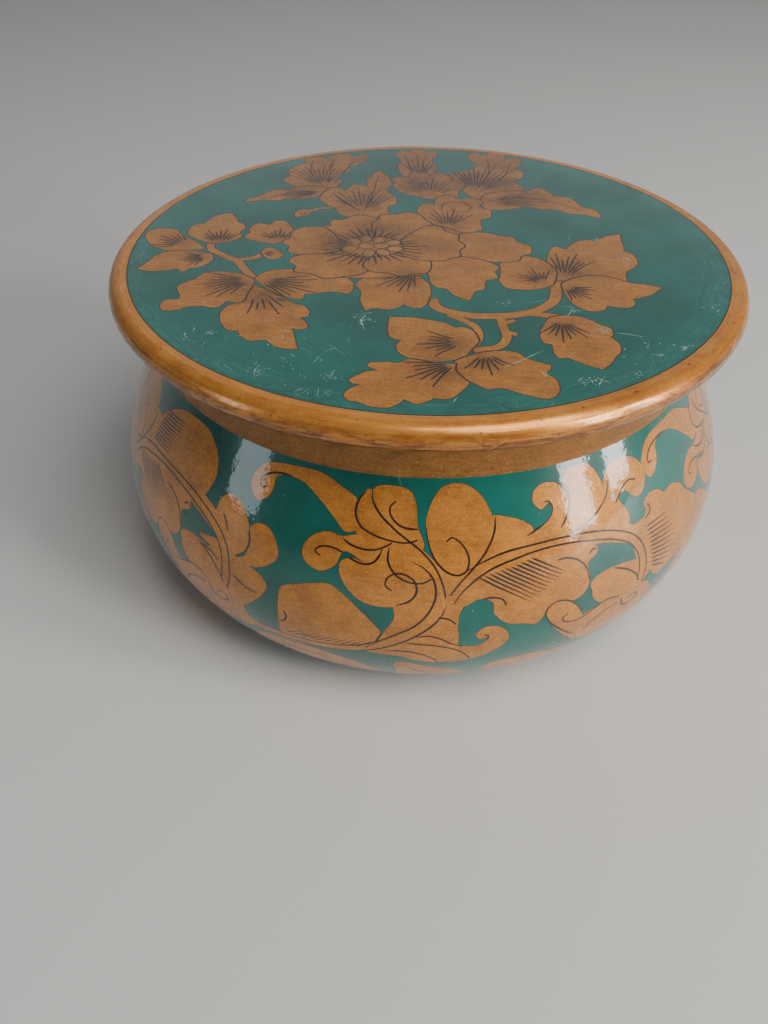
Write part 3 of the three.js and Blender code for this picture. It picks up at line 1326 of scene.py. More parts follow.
LID_LEAVES_AROUND = (
    Leaf(
        (((-53, -1), (-57, 4)), ((-60, 6.6), (-62, 10), (-65.4, 10.8)), ((-68.4, 10), (-69, 6.4)),
         ((-67, 2), (-64.6, -0.6), (-60, -2.4))),
        Fan((-57, 1), 118, 186, 2.5, 10, 8),
    ),
    Leaf(
        (((-51, -4), (-56, -2.5), (-61.6, -2.6)), ((-64.4, -5), (-65.4, -8.4)),
         ((-67.2, -12), (-63.6, -12.9), (-60, -12.6)),
         ((-58, -11.6), (-56.6, -13.4)), ((-55, -11.6), (-52, -10), (-50.4, -7))),
        Fan((-51.4, -5), 168, 236, 1.5, 7.5, 8),
    ),
    Leaf(
        (((-50.5, 2), (-54, 3), (-58, 6.4)), ((-59, 9), (-58, 12.8)),
         ((-55.6, 13.8), (-54, 17.6), (-51.4, 20)),
         ((-49.6, 20.6), (-47.8, 17)), ((-47.2, 14.6), (-45.4, 13), (-45, 10.6)),
         ((-46, 8.6), (-45.2, 6), (-47, 3.5))),
        Fan((-50, 1.6), 58, 132, 2, 9.5, 9),
    ),
    Leaf(
        (((-37, 1.5), (-41, 3), (-44.4, 5.4)), ((-43.2, 8), (-43.6, 11), (-42, 13.8)),
         ((-39, 13), (-37.4, 15.5), (-35, 15)),
         ((-33.4, 12), (-32.8, 9)), ((-33.6, 7), (-33.4, 4))),
        Fan((-36, 3.4), 52, 138, 1.5, 7.5, 8),
    ),
    Leaf(
        (((-39.6, -3), (-38.4, -0.6), (-36, -1.4)), ((-34, -4.6), (-35.4, -6.8), (-38, -6))),
        Fan((-39, -3), -44, 4, 0.8, 3.6, 3),
    ),
    Leaf(
        (((-39.5, -17.5), (-43, -14.5), (-47, -13.3), (-51, -14)),
         ((-52.9, -16.8), (-54.6, -18.4), (-56.3, -20.8)),
         ((-55.6, -23.6), (-55, -25)),
         ((-55, -26.6), (-57.5, -27), (-58.4, -29.2), (-57.4, -31.5), (-54.6, -31.5)),
         ((-52.4, -30), (-49.4, -29.6), (-46.6, -30.5)),
         ((-44.3, -27.4), (-42.4, -28.4), (-40.4, -27.8), (-39.6, -23))),
        Fan((-40, -17.2), 166, 236, 2, 13, 9),
    ),
    Leaf(
        (((-39.5, -17), (-38, -14), (-35, -12.3), (-30.6, -12.2)),
         ((-26, -14), (-20, -15.6), (-17.4, -18.6)),
         ((-17.2, -21), (-17.6, -23)), ((-18.6, -24.2), (-22, -23.2), (-25.4, -24)),
         ((-28, -24.2), (-28, -26.2), (-30, -26.6)),
         ((-32, -25.6), (-34.6, -23.6), (-37, -21))),
        Fan((-39, -17.2), -48, 4, 2.5, 15, 8),
    ),
    Leaf(
        (((-39.3, -20), (-40, -24), (-40.5, -27.6)),
         ((-41.2, -28.4), (-43.8, -29.6), (-45, -32.4), (-44.6, -36), (-43, -39.6)),
         ((-40.5, -40.4), (-39.6, -42.4), (-37.8, -44.3)),
         ((-34.6, -43.9), (-32.4, -46.3), (-30.4, -47.4)),
         ((-27.9, -47.6), (-28.6, -43.4)), ((-29.6, -39.2), (-28, -39.9), (-26.3, -39), (-26.8, -36.6)),
         ((-28.2, -34.6), (-26.6, -34.2), (-26.3, -32), (-27.6, -29.8)),
         ((-29.6, -28.8), (-31.6, -27), (-35, -23.6))),
        Fan((-39, -20.4), -88, -40, 5, 14.5, 7),
    ),
    Leaf(
        (((27, -34), (30.5, -34.6), (33, -36.4)), ((33.8, -37.6), (36, -39.4), (36, -41.8)),
         ((35.2, -43), (36.4, -45.5), (36.2, -48.6)),
         ((35.3, -49.8), (33.6, -52.6)), ((31.2, -55.2), (28.4, -53.6), (26.4, -52)),
         ((25.4, -50.8), (23.6, -51), (22.9, -49)),
         ((23, -45.8), (21.3, -44.8), (21.3, -41.4), (22.5, -38), (24.2, -35))),
        Fan((26.4, -35.8), 232, 308, 1.4, 9.5, 8),
    ),
    Leaf(
        (((28.5, -18), (28, -12), (28.2, -7), (29.2, -3), (31.2, 0)),
         ((33.6, -1.6), (35, 1), (37.4, 3.2), (40, 3.8)),
         ((41.4, 3), (44, 5.4), (46, 6.4)), ((48.6, 7.2), (48, 3), (47.8, 0)),
         ((47.2, -2.2), (49, -4.6), (49.2, -8), (48.4, -10.4)),
         ((46.6, -12.2), (45.2, -14)), ((44.4, -18.4), (38, -18), (33, -17.4))),
        Fan((29.6, -18.4), 52, 88, 4, 16, 8),
    ),
    Leaf(
        (((29.5, -19.4), (33, -16.6), (37.5, -15.5), (41.6, -16.8)), ((45, -19.2), (48.4, -20)),
         ((51.6, -21.4), (49, -24), (46.4, -25.8)),
         ((43.8, -26.6), (43.6, -29), (41.6, -30.6)),
         ((37.4, -29.8), (36.6, -31.6), (33.8, -32.2), (31.5, -30.8), (30, -28), (29.3, -24))),
        Fan((29.8, -20.6), -82, -10, 1.5, 8, 8),
    ),
    Leaf(
        (((27.4, -20), (24, -22), (20.6, -22.3), (17, -21.4)),
         ((15.4, -18.2), (16.4, -14), (16.6, -10), (18.6, -6.4), (22, -5)),
         ((26, -6.4), (28.4, -10), (29.2, -14))),
        Fan((25.6, -19), 74, 160, 1.4, 7.5, 9),
    ),
    Leaf(
        (((-3.4, -14), (-8, -14.8), (-12, -15.2)), ((-13.6, -14.6), (-15.6, -17.4)),
         ((-16.8, -20), (-15.6, -23), (-15.6, -27)),
         ((-14.6, -31.8), (-12.4, -30.8), (-9.6, -31.3), (-7.4, -30.4)),
         ((-6.2, -28.9), (-5.2, -30.2), (-3, -30.8), (-1.4, -29)),
         ((-0.4, -25.4), (-0.2, -20))),
        Fan((-3, -13), 196, 262, 2, 12, 9),
    ),
)
LID_LEAVES_IN_FRONT = (
    Leaf(
        (((8.4, -44.6), (7.6, -40.6), (5.6, -38.8)), ((4.2, -39.2), (2.4, -37.4)),
         ((0.4, -36.4), (-4, -35), (-7, -34.8)),
         ((-9.4, -34.4), (-9.9, -39.5), (-9.2, -43)),
         ((-7.2, -44), (-8.3, -46.5), (-7.6, -49.3), (-5.4, -51), (-2, -52.3), (1.6, -52)),
         ((4.8, -50.8), (6.8, -47.6))),
        Fan((5.6, -45), 152, 216, 2, 10, 7),
    ),
    Leaf(
        (((6.3, -50), (9, -48.9), (12.5, -48.4), (15.5, -49)), ((17.2, -51.2), (19, -52.4)),
         ((21.6, -53.6), (21, -55.2)),
         ((20, -56.4), (21.6, -58.5), (21.8, -61), (21.2, -63.5), (19.4, -65)),
         ((17.4, -64.8), (14.4, -63.4), (11.6, -61.8)),
         ((9.8, -61.7), (8.4, -62), (7, -61)), ((5.8, -59.6), (3.3, -58.2), (2.2, -55.5), (3, -52.2))),
        Fan((9, -48.8), 238, 312, 1.8, 8.6, 7),
    ),
    Leaf(
        (((3, -53), (-1, -52.8), (-4, -51.8)), ((-6, -51.3), (-8, -52.6), (-10.4, -52.4)),
         ((-13.4, -52.5), (-14, -53.8)),
         ((-11.8, -55.4), (-14.4, -56)), ((-17.5, -58.6), (-16.8, -59.8)),
         ((-15.3, -60.2), (-17.3, -61.8), (-18.3, -64), (-17.2, -65.5)),
         ((-15.8, -65.8), (-13.5, -67.4), (-10.5, -67.9), (-8.2, -66.5)),
         ((-7.2, -65.2), (-5, -66.7), (-3, -65.8)),
         ((-1.8, -64.7), (-0.4, -65.2), (2, -64.4), (4.6, -61)),
         ((5.2, -59.6), (4.2, -58.3), (2.8, -55.5))),
        Fan((3.6, -52.4), 184, 234, 2, 12, 7),
    ),
)
LID_PETALS = (
    ((-24, 6), (-25.4, 10), (-23.6, 12.4), (-23.4, 15.6), (-19.8, 16.6), (-17, 19), (-12.6, 17.4),
     (-9, 11), (-11, 4), (-18, 2)),
    ((-12, 6), (-13, 13), (-11.4, 16.4), (-10.6, 19.4), (-7, 19.6), (-4, 21.2), (-0.6, 19.2),
     (0.4, 16.4), (2, 13.6), (1.5, 9),
     (-2, 5), (-7, 3)),
    ((-24, -4), (-30, -4.4), (-33, -2.4), (-33, 0.2), (-34.8, 2.6), (-33.2, 5.2), (-32.8, 9),
     (-29.6, 11.6), (-25, 11), (-22, 6),
     (-20, 0)),
    ((8, 6), (12, 8.2), (16.4, 7.6), (18.6, 6.2), (21.6, 5.4), (22.4, 2.6), (25, 0.4), (24.8, -3.6),
     (22.4, -5), (21, -7.6),
     (16.6, -8.3), (11, -7), (7, -3)),
    ((0.5, -6), (7, -5.5), (13, -7.5), (16.2, -11), (15, -13.6), (15.4, -16.6), (12.6, -18),
     (11.8, -22), (9.4, -23.4), (8, -27),
     (5, -25), (3.4, -22), (0.5, -20), (-0.5, -11)),
    ((-16, -6), (-24, -4), (-30.6, -5), (-32.4, -8), (-30.6, -10.4), (-30.6, -13.4), (-26.8, -14.4),
     (-23.6, -16.8), (-19.4, -15.6),
     (-16, -14.8), (-12.5, -10)),
    ((-13, -5), (-15, -10), (-13, -13.2), (-9.6, -13.8), (-6.6, -15.6), (-3.4, -14.4), (-0.4, -13.6),
     (0.5, -9), (-2, -5), (-7, -4)),
    ((-6, -4), (-2, -7), (3, -7.7), (5.6, -6.2), (7.6, -5.2), (7.8, -2), (9.2, 0.6), (8, 3.6), (8.2, 7),
     (5.4, 8.8), (4, 11.8),
     (0.6, 11.9), (-3, 8), (-6, 3)),
)
LID_STEMS = (
    (((0, -26.5), (1, -30.5), (6, -33.6), (14, -34.2), (21, -32.4), (26, -28), (28, -21),
     (28.5, -17.5)), 2.4),
    (((20, -33), (24, -34), (27, -34.8)), 2.0),
    (((13.8, -34.5), (14, -38), (14.3, -43), (12, -46.8), (7, -48.2)), 1.9),
    (((3, -33.5), (6, -36), (8.3, -39), (8.6, -43), (7.5, -46)), 1.6),
    (((-40, -16.5), (-42.5, -12), (-44.5, -8), (-48, -5), (-51.5, -1.5), (-52, 2)), 1.9),
    (((-45, -7.5), (-41, -6), (-38, -3)), 1.6),
    (((-30.5, 21), (-27, 23.6), (-23.5, 24)), 1.2),
    (((14, -37.4), (15.4, -36.8), (16.8, -36)), 1.2),
    (((14.4, -41), (15.4, -41.2), (16.4, -42.2)), 1.2),
)
LID_STAMENS = (
    (-17.6, 3.2), (-14.6, 4.6), (-11.2, 4.0), (-8.0, 2.2), (-7.6, -1.2),
    (-10.4, -3.2), (-13.8, -3.6), (-18.4, -1.0), (-14.4, 0.4), (-10.8, 0.6),
)
FLOWER_HEART = (-13.2, 0.2)
FLOWER_GROUND = (
    (-30, -10), (-31, 2), (-24, 13), (-12, 17), (-2, 16), (8, 9), (16, 2), (15, -8), (6, -13),
    (-2, -15), (-14, -16.5), (-24, -15),
)


@dataclass
class Lid:
    """The flat lid: a painted panel, a half-round gold rim and a plain locating ring below."""

    green_radius: float = 70.5
    rim_rounding: float = 3.1
    panel: float = 5.4
    ring_outer: float = 60.6
    ring_width: float = 5.0
    ring_depth: float = 4.4
    ring_chamfer: float = 0.8
    edge_line: float = 0.3
    far_vein: float = 0.42
    middle_vein: float = 0.48
    near_vein: float = 0.5
    line_width: float = 0.46
    scratch_width: float = 0.14
    heart_size: Point = (15.0, 11.5)
    heart_strokes: int = 34
    heart_stroke_width: float = 0.6
    heart_stroke_taper: float = 0.5
    stamen_size: Point = (3.7, 2.7)
    steps: int = 240
    rim_steps: int = 24
    filling_pitch: float = 1.7
    filling_margin: float = 1.2
    top: float = field(init=False)
    radius: float = field(init=False)

    def __post_init__(self) -> None:
        """Takes the lid's height and radius from the frame."""
        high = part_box("lid")[1]
        self.top = high.z / MM
        self.radius = high.x / MM

    def painting(self) -> Sketch:
        """Draws the flower spray.

        Returns:
            The drawing.
        """
        sketch = Sketch(hairline=0.2, spacing=0.55, wobble=0.16, edge=0.4)
        circle = unit_circle(self.steps)
        sketch.add(circle * self.green_radius, Pigment.INK)
        sketch.add(circle * (self.green_radius - self.edge_line), Pigment.LACQUER)
        for leaf in LID_LEAVES_BEHIND:
            sketch.leaf(leaf, self.far_vein)
        for line in LID_LINES:
            sketch.line(line, self.line_width)
        sketch.ground(sketch.stem(route, width) for route, width in LID_STEMS)
        for leaf in LID_LEAVES_AROUND:
            sketch.leaf(leaf, self.middle_vein)
        for petal in (FLOWER_GROUND, *LID_PETALS):
            sketch.blob(petal)
        self.flower_heart(sketch)
        for leaf in LID_LEAVES_IN_FRONT:
            sketch.leaf(leaf, self.near_vein)
        sketch.shades.extend(LID_SHADES)
        for scratch in LID_SCRATCHES:
            sketch.scratch(scratch, self.scratch_width)
        for centre, spread, count in LID_SCUFFS:
            sketch.scuff(centre, spread, count)
        return sketch

    def flower_heart(self, sketch: Sketch) -> None:
        """Draws the strokes and stamens in the middle of the flower.

        Args:
            sketch: The drawing.
        """
        sketch.oval(FLOWER_HEART, self.heart_size, 0, Pigment.GOLD)
        for stroke in range(self.heart_strokes):
            angle = 2 * math.pi * stroke / self.heart_strokes
            near = 5.6 + 0.7 * math.cos(7 * angle)
            far = 10.6 + 1.5 * math.cos(3 * angle + 1) + 1.2 * math.cos(13 * angle)
            direction = (math.cos(angle) * 1.08, math.sin(angle) * 0.94)
            spots = [
                (FLOWER_HEART[0] + direction[0] * reach, FLOWER_HEART[1] + direction[1] * reach)
                for reach in (near, (near + far) / 2, far)
            ]
            sketch.line(spots, self.heart_stroke_width, self.heart_stroke_taper)
        for x, y in LID_STAMENS:
            turn = math.degrees(math.atan2(y - FLOWER_HEART[1], x - FLOWER_HEART[0]))
            sketch.oval((x, y), self.stamen_size, turn, Pigment.PALE)

    def build(self, materials: Sequence[Material]) -> Object:
        """Makes the lid.

        Args:
            materials: Its materials in the order of the pigments.

        Returns:
            The lid.
        """
        sketch = self.painting()
        filling = lattice((-self.radius, -self.radius), (self.radius, self.radius), self.filling_pitch)
        filling = filling[np.linalg.norm(filling, axis=1) < self.green_radius - self.filling_margin]
        sheet = cut_sheet(
            sketch.patches, unit_circle(self.steps) * self.green_radius, filling,
            lambda spots: np.linalg.norm(spots, axis=1) < self.green_radius,
        )
        mesh = bmesh.new()
        centre = (self.radius - self.rim_rounding, self.top - self.rim_rounding)
        rim = arc_points(centre, self.rim_rounding, 90, -90, self.rim_steps)
        turn_profile(mesh, [(self.green_radius, self.top), *rim], self.steps, Pigment.BAND)
        turn_profile(mesh, self.underside(rim[-1]), self.steps, Pigment.PLAIN)
        places = np.column_stack([sheet.points, np.full(len(sheet.points), self.top)])
        lay_sheet(mesh, sheet, places, sketch.shade_at(sheet.points))
        return make_object("lid_lacquered", mesh, materials)

    def underside(self, start: Point) -> list[Point]:
        """The profile below, from the rim to the axis.

        Args:
            start: Where the rim ends.

        Returns:
            Radius and height of each point.
        """
        ring_inner = self.ring_outer - self.ring_width
        ring_bottom = start[1] - self.ring_depth
        panel_bottom = self.top - self.panel
        return [
            start,
            (self.ring_outer, start[1]),
            (self.ring_outer, ring_bottom + self.ring_chamfer),
            (self.ring_outer - self.ring_chamfer, ring_bottom),
            (ring_inner, ring_bottom),
            (ring_inner, panel_bottom),
            (0, panel_bottom),
        ]

    def dress(self, piece: Object) -> None:
        """Sets the lid in the frame.

        Args:
            piece: The lid.
        """
        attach(piece, "root")
        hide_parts("lid")


# The bowl


class Link(Enum):
    """What joins one scroll to the next round the belly."""

    FAN = "fan leaf"
    LOBES = "pair of lobes"


SCROLL_BLOBS = (
    ((-12, 35), (-9, 38.8), (-7.6, 42.5), (-6.4, 46), (-6.6, 49), (-6, 53), (-3, 58), (0, 60), (4, 60),
     (9, 62), (15, 62.5), (22, 62.3),
     (28, 61.2), (33, 59), (37, 55), (39, 49), (38.6, 43), (36, 42), (35.4, 46), (34.6, 51),
     (33.5, 53.6), (29, 56.4), (24, 57.6),
     (18, 57), (9, 54), (5.6, 51.6), (3.8, 48), (3.4, 44), (3.2, 38), (-2, 34)),
    ((-25.3, 37), (-25.2, 43), (-24.8, 48), (-22.5, 49.8), (-17.5, 52), (-15, 50.8), (-12, 47.5),
     (-9.2, 43.5), (-8.2, 41),
     (-9, 37.5), (-14, 34), (-20, 32), (-25, 33)),
    ((8.6, 68.3), (11.5, 67.8), (14, 66.4), (15.6, 64.4), (14.6, 62.4), (16, 60.4), (10, 58.5),
     (7, 58.6), (8.6, 63)),
    ((2.2, 49), (3.4, 52.8), (6, 56.4), (9.5, 58.7), (14, 60), (20, 60), (25, 58.4), (26.9, 56.4),
     (26.4, 54.8), (24.9, 53.6),
     (25.2, 50.4), (24.6, 47.4), (22.8, 45.6), (19, 46), (17.3, 44), (16, 41.8), (13.8, 42.6),
     (11, 43.6), (9, 46.5), (8.7, 49.4),
     (6.6, 50.7), (4.4, 49.2)),
    ((25.4, 48.3), (27.4, 49.9), (30.5, 50), (34, 49.2), (37, 48), (37.6, 44), (36.8, 41), (34.5, 40),
     (31, 40), (28, 41.4), (26, 44)),
    ((26.4, 40.8), (29, 41.6), (32, 40.6), (35, 41), (38, 40.5), (40, 37), (41, 31), (34, 28.5),
     (28, 29), (23.6, 31.5), (22, 36.5),
     (23.8, 39.6)),
    ((17.5, 44.5), (17.8, 42), (20, 37.5), (23, 33), (27, 33), (27, 37.5), (24.4, 40), (23.4, 43),
     (21.6, 45.6), (19.4, 46.4)),
    ((-0.4, 46.4), (1.4, 46.2), (3, 44), (3.4, 40.5), (3, 36.5), (-3, 36), (-5.5, 39), (-2.6, 43.4)),
    ((-7, 36.6), (-3.4, 40), (-0.4, 41.2), (2.2, 40), (4.4, 38), (6.6, 37.6), (7.9, 38.9), (8.2, 40.3),
     (7, 39.7), (6.3, 41.2),
     (7.2, 43), (9.2, 43.2), (11, 41.6), (11.6, 38.6), (10, 35.5), (7, 33), (3, 31.6), (-3, 32.5)),
    ((-33, 68.5), (-32.6, 71), (-31, 73.6), (-28, 74.9), (-24, 75.3), (-20, 75.2), (-16.5, 73.4),
     (-13.3, 71), (-12.6, 66),
     (-14.8, 64.2), (-17, 66.6), (-20, 70), (-23, 72.3), (-26, 72.9), (-28.2, 71.8), (-28.5, 69.2),
     (-29.4, 66.8), (-31.4, 65.6)),
    ((-14.6, 60), (-16, 56.5), (-18.5, 54.6), (-21, 56), (-21.6, 59), (-20.2, 62), (-17.8, 63.5),
     (-15.5, 63.2), (-12.6, 64),
     (-8, 63.4), (-8, 60.5), (-10.6, 58)),
    ((-13.7, 66.4), (-13.6, 70), (-12.5, 72.8), (-11.2, 73.6), (-9, 70), (-6.4, 66), (-5, 63),
     (-9, 61.6), (-12.4, 63.4)),
    ((-11, 72), (-10.6, 74.2), (-8, 74.9), (-5, 74.2), (-3.7, 71.5), (-3.3, 67), (-2.2, 62.5),
     (-4.6, 61.6), (-8.6, 66.5)),
    ((-15.2, 57.5), (-14.9, 54), (-12.8, 50.5), (-10, 48.7), (-6.2, 48.9), (-3.2, 51), (-1.8, 54.5),
     (-2.6, 58), (-5.4, 61),
     (-8.2, 61.6), (-10.8, 58.3), (-13.4, 58.8)),
    ((-8, 62.6), (-7.8, 59), (-6.2, 56.2), (-3, 54.5), (-0.2, 55), (0.2, 58), (-2, 61.5), (-5, 63.6)),
)
SCROLL_STEMS = (
    (((-32, 33), (-24, 32.6), (-16, 34), (-10, 36.6), (-5.6, 39.8), (-2.4, 43), (-0.4, 47), (0.7, 51),
     (0.3, 55), (-1.2, 58.6),
      (-3.2, 61.4)), 2.3, 0.45),
    (((1.2, 49), (2.8, 53), (6, 56.8), (9.5, 59), (14, 60.4), (20, 60.6), (26, 59.6), (31, 57.6),
     (34.8, 55), (37, 51), (37.4, 46.5),
      (36.6, 41.5)), 2.2, 0.15),
)
SCROLL_BUD = (
    (-2, 66.5), (-1.6, 70.5), (0, 74.3), (2.4, 75.6), (5, 75), (7.5, 72), (9, 67.5), (9.1, 63),
    (7.2, 59.5), (4.5, 57),
    (1.5, 57.2), (-0.8, 60.5),
)
SCROLL_LINES = (
    ((-24.5, 72.7), (-27, 72.9), (-29.6, 72), (-31.1, 70.3), (-30.9, 68.7), (-30, 69)),
    ((-12, 73.3), (-13.3, 71), (-13.5, 68.4), (-12.4, 65.8), (-9.8, 64.1), (-7, 63.4), (-4.8, 63.3),
     (-3.3, 64)),
    ((-11, 73.6), (-10.8, 71.4), (-9.5, 68.8), (-7.4, 66.3), (-5, 64), (-2.6, 61.6), (-0.6, 58.6),
     (0.7, 55), (1.3, 51.2)),
    ((-3.2, 66.2), (-5, 66.3), (-6.5, 67), (-7.7, 68.7), (-7.9, 70.5), (-7, 71.8)),
    ((-15.3, 62.9), (-13.8, 61.6), (-11.9, 61), (-9.9, 61.2), (-8.3, 62.2), (-7.3, 63.1)),
    ((-8.8, 61.6), (-9.1, 60.2), (-10, 58.5), (-11.7, 57.9), (-13.6, 58.6), (-15.4, 59.9),
     (-17.2, 60.4), (-18.9, 59.9),
     (-19.5, 58.7), (-18.6, 58)),
    ((-7.7, 62), (-7.8, 59.4), (-6.9, 57), (-5.5, 55.4), (-3.8, 54.6), (-2.2, 54.7), (-0.9, 55.6)),
    ((-6.2, 49.2), (-4.3, 50.3), (-3.2, 52.2), (-3.3, 54.4), (-4.5, 56.1), (-6.3, 56.6), (-7.7, 55.4),
     (-7.9, 53.6), (-6.9, 52.6)),
    ((-3.9, 59.2), (-2.2, 58), (-0.7, 55.8), (-0.2, 53), (-0.5, 50), (-1.5, 47), (-3.2, 44.2),
     (-5.8, 41.6), (-9, 38.6), (-12.5, 36.2),
     (-17, 34.6), (-23, 33.7), (-30, 33.6)),
    ((1.5, 49.4), (0.8, 46.8), (-1.2, 43.4), (-3.8, 40.3), (-7, 37.4), (-10.6, 35), (-15, 33.2),
     (-21, 32.2), (-28, 32)),
    ((-9.3, 38.2), (-8.6, 40), (-8, 42), (-7.6, 43.4)),
    ((-24.3, 42), (-23.8, 40.4), (-24.3, 38.8), (-25.2, 37.9)),
    ((0.2, 46.6), (2, 46), (3.1, 44.6)),
    ((-3, 41), (-0.8, 41.3), (1, 40.4), (2.4, 39), (4.4, 37.8)),
    ((-4.7, 39), (-2, 38.7), (1, 38), (3.5, 36.6), (5, 34.6), (5.8, 32.6)),
    ((-7.6, 35.6), (-5, 36), (-2.6, 35.4), (-0.4, 33.6), (1, 31)),
    ((6.2, 38.7), (7.4, 38.7), (8.2, 39.8), (8.1, 40.8), (7.5, 41)),
    ((4.6, 57.2), (7.4, 59.1), (10.5, 60.4), (14, 61), (18, 61.2), (22, 61), (26, 60.3), (29, 59.2),
     (32, 57.6), (34.6, 55.4),
     (36.3, 52.6), (37.2, 49), (37.4, 45), (36.8, 41.2)),
    ((2.6, 49.6), (3.8, 52.4), (6, 55.2), (9, 57.4), (12.5, 58.8), (16, 59.6), (20, 59.7), (24, 59),
     (28, 57.6), (31.4, 55.8),
     (34, 53.2), (35.4, 50), (35.8, 46.4), (35.6, 42.6)),
    ((19.2, 56.5), (21.2, 56.3), (23.3, 54.8), (24.7, 52.2), (25.1, 49.4)),
    ((25.2, 55.6), (26.1, 56.4), (26.7, 55.9)),
    ((6.4, 50.4), (8.6, 50.7), (10.2, 49.9), (10.8, 48.4)),
    ((25.4, 47.2), (25.7, 44.4), (26.9, 42), (28, 41.4)),
    ((30, 49.7), (32.8, 47.7), (35, 44.9), (36, 42.2)),
    ((24.2, 33), (22, 35.6), (19.8, 38.6), (18, 41.6), (17.4, 44), (18.2, 45.9), (19.7, 46.5),
     (21.5, 45.7), (23.1, 43.6), (24, 41.2)),
    ((31.8, 40.6), (30, 41.5), (28.2, 41.5), (26.2, 40.4), (24.3, 39.2), (22.6, 39), (21.1, 39.7),
     (20.6, 41.1), (21.4, 42.1)),
    ((25.4, 33.4), (26.6, 36), (29, 38), (31.6, 38.6)),
    ((32.4, 40), (32.8, 37.4), (34.6, 35.7), (36.3, 36.6), (36.2, 38.2), (35, 38.6), (34.4, 37.8)),
)
BUD_LINES = (
    ((-2, 66.8), (-1.6, 63.4), (-0.5, 60), (1.2, 57.4), (3, 56.4), (4.5, 57.2), (4.9, 59.4),
     (4.4, 61.8), (3.3, 63.7), (2.2, 64.5),
     (1.3, 63.7)),
    ((9.3, 68.4), (9, 65), (7.7, 61.4), (5.8, 58), (3.6, 54.8), (2, 51.8)),
)
CROWN_LOBES = (
    ((21.4, 73), (23, 75), (25.5, 75.5), (28, 73.5), (29.4, 69.5), (30.4, 66), (30, 61), (26, 59.6),
     (20, 60), (21.4, 66), (22.2, 70)),
    ((13.6, 63), (17.4, 65), (19.2, 67.4), (18.6, 69.2), (17.2, 68.2), (15.9, 70), (16.3, 72.4),
     (18.3, 73.5), (20.6, 72.6),
     (22, 69.5), (22, 66), (21, 60.5), (16, 60.3)),
    ((28.6, 66), (29.8, 70.5), (31.6, 73), (34.5, 73.4), (37.5, 71.8), (39.3, 68.5), (38.9, 65),
     (37.2, 63.2), (35.4, 64.2),
     (34, 66), (32.4, 65), (33.6, 62), (34.2, 59.6), (33, 57.4), (29, 58), (27.5, 61)),
)
CROWN_LINES = (
    ((14.4, 63.2), (16.8, 64.6), (18.7, 66.4), (19.2, 68.2), (18.5, 69.6), (17.9, 69.4)),
    ((20.3, 63.2), (21.5, 65), (22.4, 67.6), (22.4, 70.2), (21.5, 72.6)),
    ((31.6, 64.2), (32.5, 65.6), (33.7, 67), (35.2, 67.8), (36.8, 67.2)),
    ((22.6, 61.5), (25.4, 62.6), (27.8, 64.4), (29.8, 66.8), (30.6, 69.8)),
)
CROWN_PLUME = (
    (9.6, 61.6), (10.2, 66), (12.8, 70.4), (17, 73.6), (22, 75), (27, 74.3), (30.4, 71), (31.4, 66.8),
    (30.6, 62.6), (28.6, 59.8),
    (22, 60), (15, 60.6),
)
FAN_LINK = (
    (32.5, 57), (35, 57.5), (37.5, 58), (38.2, 59.5), (37.9, 61), (39.5, 62.3), (42, 62), (43.6, 60.3),
    (46, 60.6), (48.6, 59),
    (50.5, 56), (53, 53), (54.3, 50), (53.5, 47), (51, 46), (49, 43), (46, 41), (41, 40), (38.5, 44),
    (37.8, 49), (36, 53),
)
LOBE_LINKS = (
    ((33, 58.5), (33.7, 62.5), (35.7, 64.3), (38.2, 63.2), (40, 60), (40.8, 56.5), (40, 53),
     (37.5, 50.8), (33, 50.2), (30, 51.5),
     (34.8, 53), (36, 55), (34.6, 54.8), (33.4, 56.5)),
    ((40.5, 59), (42, 60.8), (44, 60.6), (45.8, 58), (46.2, 54.5), (44, 51.5), (41, 50), (37, 49.6),
     (40, 52), (40.8, 55.5)),
    ((34, 50.5), (39, 50.4), (43, 49.4), (44.7, 47), (44, 44.3), (42, 41), (38, 36), (32, 34), (29, 38),
     (30, 47)),
)
LOBE_LINES = (
    ((34.7, 59.4), (35.6, 57.8), (36.2, 56)),
    ((40.4, 58.8), (40.8, 56), (40.2, 53.2), (38.4, 51)),
    ((31, 49.4), (33.2, 48.8), (35, 47.6)),
    ((38, 46), (40.4, 44.4), (43, 44)),
)
FAN_HOOK = ((37.6, 57.4), (38.9, 58.1), (39.2, 59.4), (38.6, 60.4))
LOWER_BLOBS = (
    ((-30, 29), (-22, 31), (-14, 29), (-9, 24), (-10, 17), (-16, 13), (-24, 14), (-30, 19), (-32, 25)),
    ((-6, 31), (0, 29), (5, 25), (6, 18), (2, 12), (-4, 10), (-7, 16), (-6, 24)),
    ((10, 29), (16, 30), (23, 27), (28, 22), (27, 15), (21, 11), (14, 12), (10, 18), (8.5, 24)),
    ((30, 27), (33, 26), (36, 22), (36, 16), (33, 12), (31, 14), (32.6, 18), (31.5, 23)),
)
LOWER_LINES = (
    ((-28, 23), (-24, 27.5), (-18, 27), (-15, 23), (-17, 19.5), (-20.5, 20.5), (-20, 22.6)),
    ((-4, 28), (-1, 24), (0, 18), (-1.5, 13)),
    ((33.6, 24), (34.4, 20), (33.8, 16)),
)
SCROLL_COMBS = (
    Comb((6.4, 55.6), (0.86, 0.27), (14.6, 48.4), (0.62, 0.5)),
    Comb((-24, 34.7), (1.3, 0.12), (-21.4, 36.6), (1.3, 0.22), width=0.34),
)
LOBE_COMB = Comb((10.8, 62.4), (0.2, 0.86), (17.5, 62.8), (0.3, 0.9))
FAN_COMB = Comb((37.8, 55.3), (0.12, -1.1), (43.4, 55.4), (0.75, -1.42), bow=-0.07)


